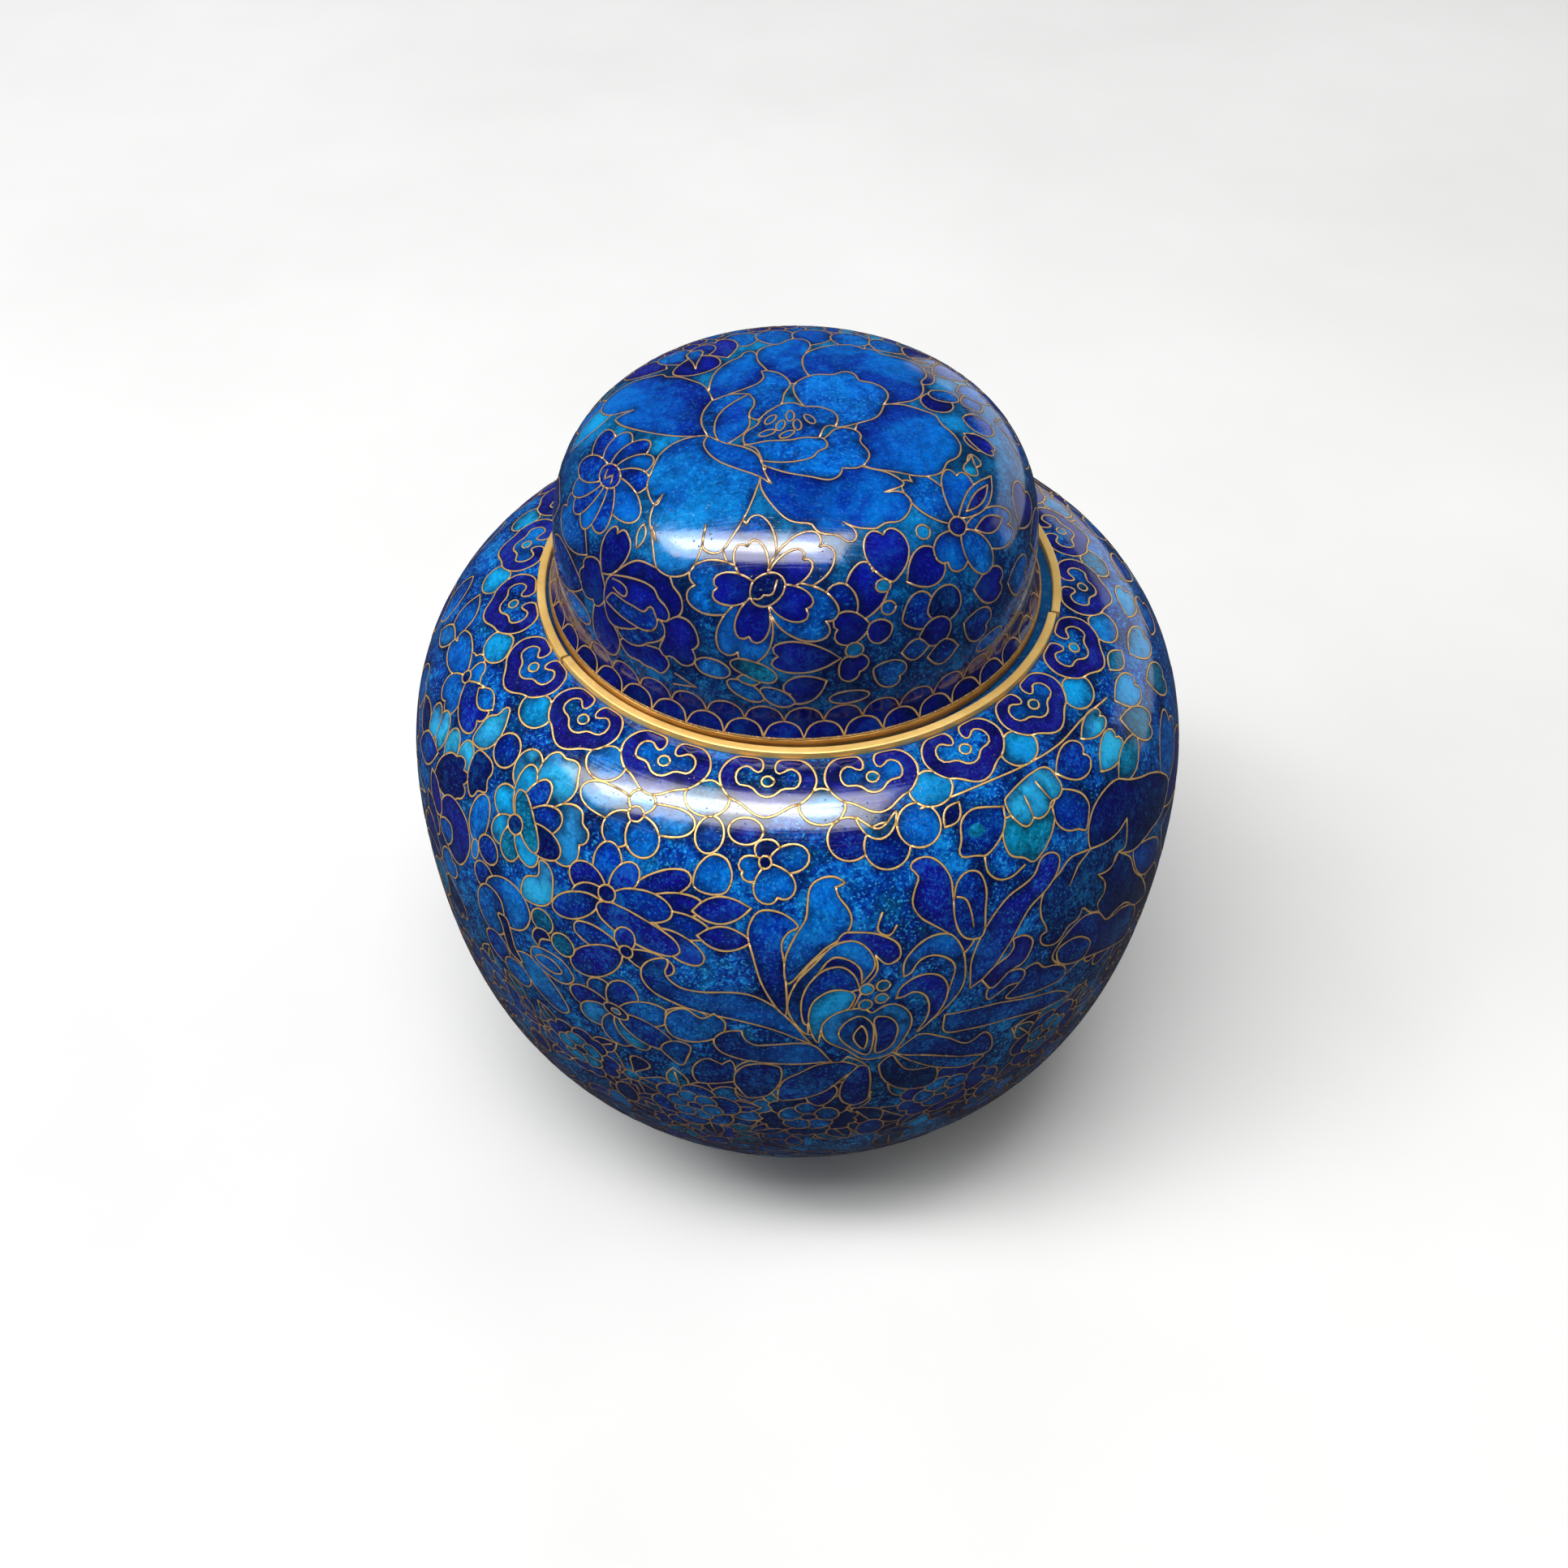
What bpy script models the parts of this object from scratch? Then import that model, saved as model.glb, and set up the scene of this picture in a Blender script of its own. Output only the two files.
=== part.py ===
# Cloisonne ginger jar: hollow enamelled body, two-length gilt shoulder ring,
# hollow lid and gilt lid rim. Metres, +Z up, origin at the centre of the foot,
# on the surface that the jar stands on. +X is right, -Y is the front.
import math

import bpy
import bmesh

for old in list(bpy.data.objects):
    bpy.data.objects.remove(old, do_unlink=True)

MM = 0.001

# ---- named sizes, millimetres ------------------------------------------------
R = 63.5                  # half of the 127 mm (5 in) body diameter
EQUATOR_H = 1.053 * R     # height of the profile's centre over the table
WALL = 2.4                # copper with enamel on both sides

# The turned profile of the body is a circle of radius R about its centre,
# changed by these shares of R times sin(latitude) to the powers 1 to 4, which
# flatten the shoulder and the underside.
SHAPE = (-0.0207, 0.2270, -0.3750, -0.5827)

FOOT_R = 33.0             # outer radius of the foot
FOOT_IN_R = 30.2          # inner radius of the foot
FOOT_RECESS = 2.0         # how far the base sits above the table
FLOOR_T = 2.6             # thickness of the floor

LEDGE_H = 103.3           # flat ledge that the lid and the ring sit on
LEDGE_R = 40.25           # where the ledge meets the shoulder
NECK_R = 32.9             # outside of the short neck under the lid
NECK_T = 1.6
NECK_RISE = 8.0
GAP = 0.3                 # between touching pieces

RING_R = 40.05            # outer radius of the gilt ring
RING_W = 1.30             # its radial width
RING_T = 0.85             # its height
RING_BREAK_LEFT = -148.6  # butt joints, degrees round +Z from +X
RING_BREAK_RIGHT = -14.4
RING_BREAK_HALF = 0.35    # half of the opening at each joint, degrees
RING_BACK_OUT = 0.45      # how far the rear length sits outward at the right

LID_X, LID_Y = -0.50, -0.55   # the loose lid sits a little off centre
LID_RIM_R = 0.594 * R         # outer radius of the gilt lid rim
LID_RIM_T = 1.6               # its height
LID_WALL = 2.1
LID_R = 0.571 * R             # largest radius of the dome's side
LID_SIDE = 0.063 * R          # height over which the side flares to the rim
LID_DOME = 0.428 * R          # height of the dome over that
LID_POWER = 3.107             # roundness of the dome, 2 is an ellipse

SEG = 64                      # segments round the axis

COBALT = (0.010, 0.045, 0.330)
GILT = (0.830, 0.560, 0.180)


# ---- profiles ----------------------------------------------------------------
def body_point(lat, inset=0.0):
    """Radius and height on the body's outside at this latitude (degrees)."""
    s = math.sin(math.radians(lat))
    c = math.cos(math.radians(lat))
    rho = 1.0 + sum(k * s ** (i + 1) for i, k in enumerate(SHAPE))
    rho = rho * R - inset
    return rho * c, rho * s + EQUATOR_H


def latitude_where(test, lo, hi):
    """Bisect for the latitude at which test changes from true to false."""
    for _ in range(60):
        mid = 0.5 * (lo + hi)
        if test(mid):
            lo = mid
        else:
            hi = mid
    return 0.5 * (lo + hi)


def body_profile():
    pts = [(0.0, FOOT_RECESS), (FOOT_IN_R, FOOT_RECESS), (FOOT_IN_R, 0.0),
           (FOOT_R, 0.0)]
    lat0 = latitude_where(lambda a: body_point(a)[0] < FOOT_R, -80.0, -30.0)
    lat1 = latitude_where(lambda a: body_point(a)[0] > LEDGE_R, 20.0, 70.0)
    n = 16
    for i in range(n + 1):
        r, z = body_point(lat0 + (lat1 - lat0) * i / n)
        if i == n:
            r, z = LEDGE_R, LEDGE_H
        pts.append((r, z))
    top = LEDGE_H + NECK_RISE
    pts += [(NECK_R, LEDGE_H), (NECK_R, top), (NECK_R - NECK_T, top)]
    under = LEDGE_H - WALL
    pts.append((NECK_R - NECK_T, under))
    floor = FOOT_RECESS + FLOOR_T
    up = latitude_where(lambda a: body_point(a, WALL)[1] < under, 0.0, lat1)
    dn = latitude_where(lambda a: body_point(a, WALL)[1] < floor, -80.0, 0.0)
    n = 12
    for i in range(n + 1):
        pts.append(body_point(up + (dn - up) * i / n, WALL))
    pts.append((0.0, floor))
    return pts


def dome_outline(inset, n):
    """From the lid's bottom edge to its crown, outside less the inset."""
    out = []
    base = LEDGE_H + GAP
    rim_top = LID_RIM_T + GAP
    flare = LID_RIM_R - 0.25 - LID_R
    for i in range(3):
        u = i / 3.0
        z = base + rim_top + (LID_SIDE - rim_top) * u
        out.append((LID_R + flare * (1.0 - u) ** 1.6 - inset, z))
    for i in range(n + 1):
        t = math.pi / 2 * i / n
        r = LID_R * math.cos(t) ** (2 / LID_POWER) if i < n else 0.0
        z = LID_DOME * math.sin(t) ** (2 / LID_POWER)
        k = (LID_R - inset) / LID_R
        kz = (LID_DOME - inset) / LID_DOME
        out.append((r * k, base + LID_SIDE + z * kz))
    return out


def lid_profile():
    inner = dome_outline(LID_WALL, 7)
    outer = dome_outline(0.0, 10)
    return inner[::-1] + outer


def lid_rim_profile():
    z0 = LEDGE_H + GAP
    z1 = z0 + LID_RIM_T
    r_in = LID_RIM_R - LID_WALL - 0.2
    c = 0.25
    return [(r_in, z0), (LID_RIM_R - c, z0), (LID_RIM_R, z0 + c),
            (LID_RIM_R, z1 - c), (LID_RIM_R - c, z1), (r_in, z1)]


# ---- builders ----------------------------------------------------------------
def material(name, colour, rough, metal, coat=0.0):
    m = bpy.data.materials.new(name)
    m.use_nodes = True
    b = m.node_tree.nodes["Principled BSDF"]
    b.inputs["Base Color"].default_value = (*colour, 1.0)
    b.inputs["Roughness"].default_value = rough
    b.inputs["Metallic"].default_value = metal
    b.inputs["Coat Weight"].default_value = coat
    m.diffuse_color = (*colour, 1.0)
    return m


def finish(bm, name, mat, cx=0.0, cy=0.0):
    bmesh.ops.recalc_face_normals(bm, faces=bm.faces[:])
    me = bpy.data.meshes.new(name)
    bm.to_mesh(me)
    bm.free()
    me.shade_smooth()
    me.set_sharp_from_angle(angle=math.radians(35))
    ob = bpy.data.objects.new(name, me)
    ob.location = (cx * MM, cy * MM, 0.0)
    me.materials.append(mat)
    bpy.context.scene.collection.objects.link(ob)
    return ob


def lathe(name, pts, mat, closed=False, cx=0.0, cy=0.0):
    """Turn a profile about the axis; its ends lie on the axis or it closes."""
    bm = bmesh.new()
    rows = []
    for r, z in pts:
        if r < 1e-6:
            rows.append([bm.verts.new((0.0, 0.0, z * MM))])
            continue
        row = []
        for j in range(SEG):
            a = 2 * math.pi * j / SEG
            row.append(bm.verts.new((r * math.cos(a) * MM,
                                     r * math.sin(a) * MM, z * MM)))
        rows.append(row)
    pairs = list(zip(rows, rows[1:]))
    if closed:
        pairs.append((rows[-1], rows[0]))
    for lo, hi in pairs:
        for j in range(SEG):
            k = (j + 1) % SEG
            if len(lo) == 1:
                bm.faces.new((lo[0], hi[j], hi[k]))
            elif len(hi) == 1:
                bm.faces.new((lo[j], hi[0], lo[k]))
            else:
                bm.faces.new((lo[j], lo[k], hi[k], hi[j]))
    return finish(bm, name, mat, cx, cy)


def ring_length(name, a0, a1, out0, out1, mat):
    """A length of flat wire bent to an arc, moved outward by out0 to out1."""
    z0 = LEDGE_H + GAP
    c = 0.22
    section = [(0.0, z0), (RING_W, z0), (RING_W, z0 + RING_T - c),
               (RING_W - c, z0 + RING_T), (c, z0 + RING_T),
               (0.0, z0 + RING_T - c)]
    n = max(8, round(SEG * abs(a1 - a0) / 360.0))
    bm = bmesh.new()
    rows = []
    for i in range(n + 1):
        f = i / n
        a = math.radians(a0 + (a1 - a0) * f)
        out = out0 * max(0.0, 1 - f * 4) ** 2 + out1 * max(0.0, f * 4 - 3) ** 2
        rows.append([bm.verts.new(((RING_R - RING_W + out + x) * math.cos(a) * MM,
                                   (RING_R - RING_W + out + x) * math.sin(a) * MM,
                                   z * MM)) for x, z in section])
    m = len(section)
    for lo, hi in zip(rows, rows[1:]):
        for j in range(m):
            k = (j + 1) % m
            bm.faces.new((lo[j], lo[k], hi[k], hi[j]))
    bm.faces.new(rows[0])
    bm.faces.new(rows[-1][::-1])
    return finish(bm, name, mat)


# ---- the jar -----------------------------------------------------------------
enamel_body = material("jar_body", COBALT, 0.12, 0.0, 0.6)
enamel_lid = material("lid", COBALT, 0.12, 0.0, 0.6)
gilt_rim = material("lid_rim", GILT, 0.30, 1.0)
gilt_front = material("shoulder_ring_front", GILT, 0.30, 1.0)
gilt_back = material("shoulder_ring_back", GILT, 0.30, 1.0)

lathe("jar_body", body_profile(), enamel_body)
ring_length("shoulder_ring_front", RING_BREAK_LEFT + RING_BREAK_HALF,
            RING_BREAK_RIGHT - RING_BREAK_HALF, 0.0, 0.0, gilt_front)
ring_length("shoulder_ring_back", RING_BREAK_RIGHT + RING_BREAK_HALF,
            360.0 + RING_BREAK_LEFT - RING_BREAK_HALF, RING_BACK_OUT, 0.2,
            gilt_back)
lathe("lid", lid_profile(), enamel_lid, cx=LID_X, cy=LID_Y)
lathe("lid_rim", lid_rim_profile(), gilt_rim, closed=True, cx=LID_X, cy=LID_Y)
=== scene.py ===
# Looks of a cloisonne ginger jar: enamel cells, inlaid wires, gilt rings.
# Metres in the scene; sizes below are in millimetres and turned into metres
# where meshes are made. The jar stands on z = 0, +X right, -Y front.
import math

import bpy
import numpy as np
from mathutils import Matrix, Vector
from mathutils.geometry import delaunay_2d_cdt
from mathutils.kdtree import KDTree


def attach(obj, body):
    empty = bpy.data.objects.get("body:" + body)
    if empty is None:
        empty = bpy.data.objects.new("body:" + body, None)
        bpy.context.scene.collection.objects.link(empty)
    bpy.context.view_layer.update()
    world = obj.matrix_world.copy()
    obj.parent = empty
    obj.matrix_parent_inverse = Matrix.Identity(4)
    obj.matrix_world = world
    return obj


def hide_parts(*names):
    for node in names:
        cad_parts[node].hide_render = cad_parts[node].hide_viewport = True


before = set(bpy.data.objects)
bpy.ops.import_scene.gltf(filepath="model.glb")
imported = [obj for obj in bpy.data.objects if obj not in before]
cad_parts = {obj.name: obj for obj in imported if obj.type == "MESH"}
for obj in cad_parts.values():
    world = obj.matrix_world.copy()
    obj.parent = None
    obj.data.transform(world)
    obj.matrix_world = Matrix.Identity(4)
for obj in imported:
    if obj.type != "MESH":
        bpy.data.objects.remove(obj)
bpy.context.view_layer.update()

MM = 0.001
RAD = math.pi / 180.0
rng = np.random.RandomState(11)

# ---- sizes shared with the solids ---------------------------------------------
R = 63.5
EQUATOR_H = 1.053 * R
SHAPE = (-0.0207, 0.2270, -0.3750, -0.5827)
WALL = 2.4
FOOT_R, FOOT_IN_R, FOOT_RECESS, FLOOR_Z = 33.0, 30.2, 2.0, 4.6
LEDGE_H, LEDGE_R = 103.3, 40.25
NECK_R, NECK_T, NECK_RISE = 32.9, 1.6, 8.0
RING_R, RING_W = 40.05, 1.30
RING_BREAKS = (-148.6, -14.4)
LID_X, LID_Y = -0.50, -0.55
LID_RIM_R = 0.594 * R
LID_R = 0.571 * R
LID_SIDE = 0.063 * R
LID_DOME = 0.428 * R
LID_POWER = 3.107
LID_WALL = 2.1
RIM_TOP = 1.35                     # top of the gilt rim over the lid's bottom edge
NSEG = 240                       # segments round the turned parts


def body_point(lat, inset=0.0):
    s, c = np.sin(lat), np.cos(lat)
    rho = (1.0 + sum(k * s ** (i + 1) for i, k in enumerate(SHAPE))) * R - inset
    return rho * c, rho * s + EQUATOR_H


class Turned:
    """A turned surface: theta in degrees round +Z, s in mm along its profile."""

    def __init__(self, r, z, cx=0.0, cy=0.0, p0=0.0):
        self.r, self.z, self.cx, self.cy, self.p0 = r, z, cx, cy, p0
        step = np.hypot(np.diff(r), np.diff(z))
        self.s = np.concatenate([[0.0], np.cumsum(step)])
        self.end = float(self.s[-1])
        dr, dz = np.gradient(r, self.s), np.gradient(z, self.s)
        n = np.hypot(dr, dz)
        self.nr, self.nz = -dz / n, dr / n

    def radius(self, s):
        return np.interp(s, self.s, self.r)

    def plane(self, th, s):
        """Angle and arc length laid out flat as an annulus or a disc."""
        a = np.asarray(th) * RAD
        p = self.p0 + np.asarray(s)
        return np.stack([p * np.cos(a), p * np.sin(a)], -1)

    def from_plane(self, xy):
        return np.arctan2(xy[..., 1], xy[..., 0]), np.hypot(xy[..., 0], xy[..., 1]) - self.p0

    def point(self, th, s, h=0.0):
        """Position (mm) and unit normal at angle th (radians) and arc s."""
        r, z = np.interp(s, self.s, self.r), np.interp(s, self.s, self.z)
        nr, nz = np.interp(s, self.s, self.nr), np.interp(s, self.s, self.nz)
        c, d = np.cos(th), np.sin(th)
        r, z = r + nr * h, z + nz * h
        return (np.stack([self.cx + r * c, self.cy + r * d, z], -1),
                np.stack([nr * c, nr * d, nz], -1))


def body_surface():
    lat = np.radians(np.linspace(60, -70, 6000))
    r, z = body_point(lat)
    i0 = np.argmax(r > LEDGE_R)
    r, z = r[i0:], z[i0:]
    i1 = np.argmax((r < FOOT_R) & (z < 30))
    r, z = r[:i1], z[:i1]
    r[0], z[0] = LEDGE_R, LEDGE_H
    return Turned(r[::6], z[::6], p0=40.0)


def lid_surface():
    t = np.linspace(math.pi / 2, 0, 1500)
    r = LID_R * np.cos(t) ** (2 / LID_POWER)
    r[0] = 0.0
    z = LEDGE_H + 0.3 + LID_SIDE + LID_DOME * np.sin(t) ** (2 / LID_POWER)
    u = np.linspace(1, 0, 80)[1:]
    r = np.concatenate([r, LID_R + (LID_RIM_R - 0.25 - LID_R) * (1 - u) ** 1.6])
    z = np.concatenate([z, LEDGE_H + 0.3 + RIM_TOP + (LID_SIDE - RIM_TOP) * u])
    return Turned(r, z, LID_X, LID_Y, 0.0)


BODY, LID = body_surface(), lid_surface()


# ---- colours ---------------------------------------------------------------------
def lin(rgb):
    c = np.array(rgb, float) / 255.0
    return np.where(c <= 0.04045, c / 12.92, ((c + 0.055) / 1.055) ** 2.4)


# name: (deep colour, light colour, share of bright mottling)
ENAMEL = {
    "g": ((0, 28, 126), (0, 76, 178), 1.0),         # mottled blue ground
    "G": ((0, 16, 84), (0, 40, 124), 0.7),          # darker ground low down: painted shade
    "c": ((6, 8, 104), (14, 22, 152), 0.30),        # cobalt
    "r": ((0, 22, 112), (0, 46, 160), 0.40),        # royal blue
    "a": ((0, 52, 142), (0, 98, 192), 0.50),        # azure
    "t": ((0, 112, 178), (14, 160, 216), 0.50),     # turquoise
    "T": ((14, 140, 196), (56, 188, 226), 0.40),    # pale turquoise
    "l": ((4, 94, 184), (30, 140, 216), 0.50),      # light sky blue
    "e": ((0, 76, 110), (0, 116, 144), 0.60),       # green teal
    "n": ((0, 4, 62), (4, 12, 98), 0.20),           # navy
    "R": ((0, 12, 70), (2, 42, 116), 0.45),         # dusky blue of the large petals
    "v": ((14, 10, 104), (28, 26, 150), 0.16),      # violet cobalt
    "s": ((2, 4, 86), (8, 14, 140), 0.10),          # scales of the lid
    "p": ((0, 24, 126), (0, 98, 188), 0.24),       # big flower of the lid
    "q": ((0, 44, 140), (4, 122, 190), 0.40),       # its greener front petal
    "G2": ((0, 84, 142), (8, 128, 184), 0.9),       # teal ground of the lid
    "L": ((0, 24, 86), (0, 56, 126), 0.8),          # darker low ground of the lid: painted shade
    "d": ((2, 4, 84), (8, 16, 150), 0.12),          # dark petals of the lid
}


# ---- curves ----------------------------------------------------------------------
def spline(pts, closed=True, step=0.7, scale=(1.0, 1.0)):
    """Smooth curve through points; a third value of 1 marks a cusp."""
    n = len(pts)
    p = np.array([q[:2] for q in pts], float) * scale
    cusp = [len(q) > 2 and bool(q[2]) for q in pts]
    out = []
    for i in range(n if closed else n - 1):
        j = (i + 1) % n
        a, b = p[i], p[j]
        prev = p[i - 1] if (closed or i > 0) and not cusp[i] else 2 * a - b
        nxt = p[(j + 1) % n] if (closed or j < n - 1) and not cusp[j] else 2 * b - a
        d0, d1, d2 = (max(1e-6, float(np.hypot(*(q - w))))
                      for q, w in ((a, prev), (b, a), (nxt, b)))
        ma = ((a - prev) / d0 * d1 + (b - a) / d1 * d0) / (d0 + d1) * d1
        mb = ((b - a) / d1 * d2 + (nxt - b) / d2 * d1) / (d1 + d2) * d1
        k = max(1, int(round(d1 / step)))
        t = (np.arange(k) / k)[:, None]
        out.append((2 * t ** 3 - 3 * t ** 2 + 1) * a + (t ** 3 - 2 * t ** 2 + t) * ma
                   + (-2 * t ** 3 + 3 * t ** 2) * b + (t ** 3 - t ** 2) * mb)
    if not closed:
        out.append(p[-1:])
    return np.concatenate(out) / scale


# Half outlines along an axis from base (0) to tip (1), width 1 in all.
HALF = {
    "round": [(0, 0, 1), (.16, .30), (.45, .5), (.78, .45), (.96, .22), (1, 0)],
    "oval": [(0, 0), (.06, .26), (.26, .46), (.5, .5), (.74, .46), (.94, .26), (1, 0)],
    "point": [(0, 0, 1), (.2, .34), (.48, .5), (.78, .32), (1, 0, 1)],
    "leaf": [(0, 0, 1), (.25, .36), (.5, .5), (.75, .36), (1, 0, 1)],
    "heart": [(0, 0, 1), (.2, .28), (.52, .5), (.84, .47), (1, .28), (.99, .09), (.9, 0, 1)],
    "scal": [(0, 0, 1), (.18, .3), (.42, .47), (.6, .5), (.7, .43, 1), (.86, .43),
             (.95, .28), (.9, .15, 1), (1.0, .08), (1.02, 0)],
    "drop": [(0, 0, 1), (.3, .13), (.58, .36), (.82, .48), (.96, .3), (1, 0)],
    "lobe": [(0, 0, 1), (.3, .2), (.4, .42, 1), (.62, .54), (.78, .36, 1), (.94, .26), (1, 0)],
}


def outline(kind, length, width, bend=0.0):
    half = HALF[kind]
    full = half + [(q[0], -q[1]) + tuple(q[2:]) for q in half[-2:0:-1]]
    return [(q[0] * length, q[1] * width + bend * length * math.sin(math.pi * q[0]))
            + tuple(q[2:]) for q in full]


class Canvas:
    def __init__(self, surface):
        self.f = surface
        self.cells, self.lines = [], []
        self.background = "g"

    # -- raw cells -------------------------------------------------------------
    def _put(self, poly, col, wire, axis, tint):
        p = poly
        rho = np.hypot(p[:, 0], p[:, 1])
        lo, hi = self.f.p0 + (0.12 if self.f.p0 else 0.0), self.f.p0 + self.f.end - 0.12
        k = np.clip(rho, lo, hi) / np.maximum(rho, 1e-9)
        p = p * k[:, None]
        axis = None if axis is None else np.array(axis, float)
        self.cells.append(dict(p=p, col=col, wire=wire, axis=axis,
                               tint=tint if tint is not None
                               else float(rng.uniform(-1, 1))))

    def cell(self, pts, col, wire=True, axis=None, tint=None):
        """Closed cell, points in (theta, s)."""
        mid = np.mean([q[:2] for q in pts], 0)
        k = max(8.0, float(self.f.radius(min(max(mid[1], 1), self.f.end)))) * RAD
        c = spline(pts, True, 0.62, (k, 1.0))
        if axis is not None:
            axis = self.f.plane(*np.array(axis, float).T)
        self._put(self.f.plane(c[:, 0], c[:, 1]), col, wire, axis, tint)

    def flat(self, pts, col, wire=True, axis=None, tint=None):
        """Closed cell, points in the flat plane."""
        self._put(spline(pts, True, 0.62), col, wire, axis, tint)

    def line(self, pts):
        mid = np.mean([q[:2] for q in pts], 0)
        k = max(8.0, float(self.f.radius(min(max(mid[1], 1), self.f.end)))) * RAD
        c = spline(pts, False, 0.62, (k, 1.0))
        self.lines.append((len(self.cells), self.f.plane(c[:, 0], c[:, 1])))

    def flatline(self, pts):
        self.lines.append((len(self.cells), spline(pts, False, 0.62)))

    # -- parametric shapes ------------------------------------------------------
    def _local(self, c, uv):
        k = max(6.0, float(self.f.radius(min(max(c[1], 0.5), self.f.end)))) * RAD
        uv = np.asarray(uv, float)
        return np.stack([c[0] + uv[:, 0] / k, c[1] + uv[:, 1]], -1)

    def pet(self, base, tip, width, kind, col, bend=0.0, wire=True, tint=None):
        """Petal from base to tip, both in (theta, s), width in mm."""
        mid = ((base[0] + tip[0]) / 2, (base[1] + tip[1]) / 2)
        k = max(6.0, float(self.f.radius(min(max(mid[1], 0.5), self.f.end)))) * RAD
        d = np.array([(tip[0] - base[0]) * k, tip[1] - base[1]])
        ln = float(np.hypot(*d))
        e = d / ln
        nrm = np.array([-e[1], e[0]])
        o = spline(outline(kind, ln, width, bend), True, 0.62)
        uv = o[:, :1] * e + o[:, 1:] * nrm
        ts = np.stack([base[0] + uv[:, 0] / k, base[1] + uv[:, 1]], -1)
        ax = self.f.plane(np.array([base[0], tip[0]]), np.array([base[1], tip[1]]))
        self._put(self.f.plane(ts[:, 0], ts[:, 1]), col, wire, ax, tint)

    def fpet(self, base, tip, width, kind, col, bend=0.0, wire=True, tint=None):
        """Petal in the flat plane."""
        b, t = np.array(base, float), np.array(tip, float)
        ln = float(np.hypot(*(t - b)))
        e = (t - b) / ln
        o = spline(outline(kind, ln, width, bend), True, 0.62)
        self._put(b + o[:, :1] * e + o[:, 1:] * np.array([-e[1], e[0]]), col, wire,
                  np.stack([b, t]), tint)

    def ell(self, c, a, b, col, rot=0.0, wire=True, tint=None):
        """Oval about c = (theta, s), half axes in mm."""
        n = max(10, int(2 * math.pi * max(a, b) / 0.55))
        t = np.linspace(0, 2 * math.pi, n, endpoint=False)
        x, y = a * np.cos(t), b * np.sin(t)
        q = rot * RAD
        ts = self._local(c, np.stack([x * math.cos(q) - y * math.sin(q),
                                      x * math.sin(q) + y * math.cos(q)], -1))
        self._put(self.f.plane(ts[:, 0], ts[:, 1]), col, wire, None, tint)

    def fell(self, c, a, b, col, rot=0.0, wire=True, tint=None):
        n = max(10, int(2 * math.pi * max(a, b) / 0.55))
        t = np.linspace(0, 2 * math.pi, n, endpoint=False)
        x, y = a * np.cos(t), b * np.sin(t)
        q = rot * RAD
        self._put(np.stack([c[0] + x * math.cos(q) - y * math.sin(q),
                            c[1] + x * math.sin(q) + y * math.cos(q)], -1),
                  col, wire, None, tint)

    def polar(self, c, ang, d):
        """Point at d mm from c in direction ang (0 right, 90 down the jar)."""
        return tuple(self._local(c, [(d * math.cos(ang * RAD), d * math.sin(ang * RAD))])[0])

    def flower(self, c, n, r0, r1, width, kind, cols, rot=0.0, squash=1.0):
        for i in range(n):
            a = rot + 360.0 * i / n
            q = squash if abs(math.sin(a * RAD)) > 0.6 else 1.0
            self.pet(self.polar(c, a, r0), self.polar(c, a, r1 * q), width, kind,
                     cols[i % len(cols)])

    def curl(self, c, r, turns, start, sense=1):
        """Open spiral wire."""
        n = int(10 * turns) + 4
        pts = []
        for i in range(n):
            f = i / (n - 1)
            pts.append(self.polar(c, start + sense * 360 * turns * f, r * (1 - 0.8 * f)))
        self.line(pts)


# ---- from cells to meshes --------------------------------------------------------
def inside(poly, pts):
    """Which points lie in the polygon (even-odd)."""
    x, y = pts[:, 0][None], pts[:, 1][None]
    x0, y0 = poly[:, 0][:, None], poly[:, 1][:, None]
    q = np.roll(poly, -1, 0)
    x1, y1 = q[:, 0][:, None], q[:, 1][:, None]
    cross = (y0 > y) != (y1 > y)
    dy = np.where(y1 == y0, 1e-12, y1 - y0)
    return (cross & (x < (x1 - x0) * (y - y0) / dy + x0)).sum(0) % 2 == 1


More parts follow.
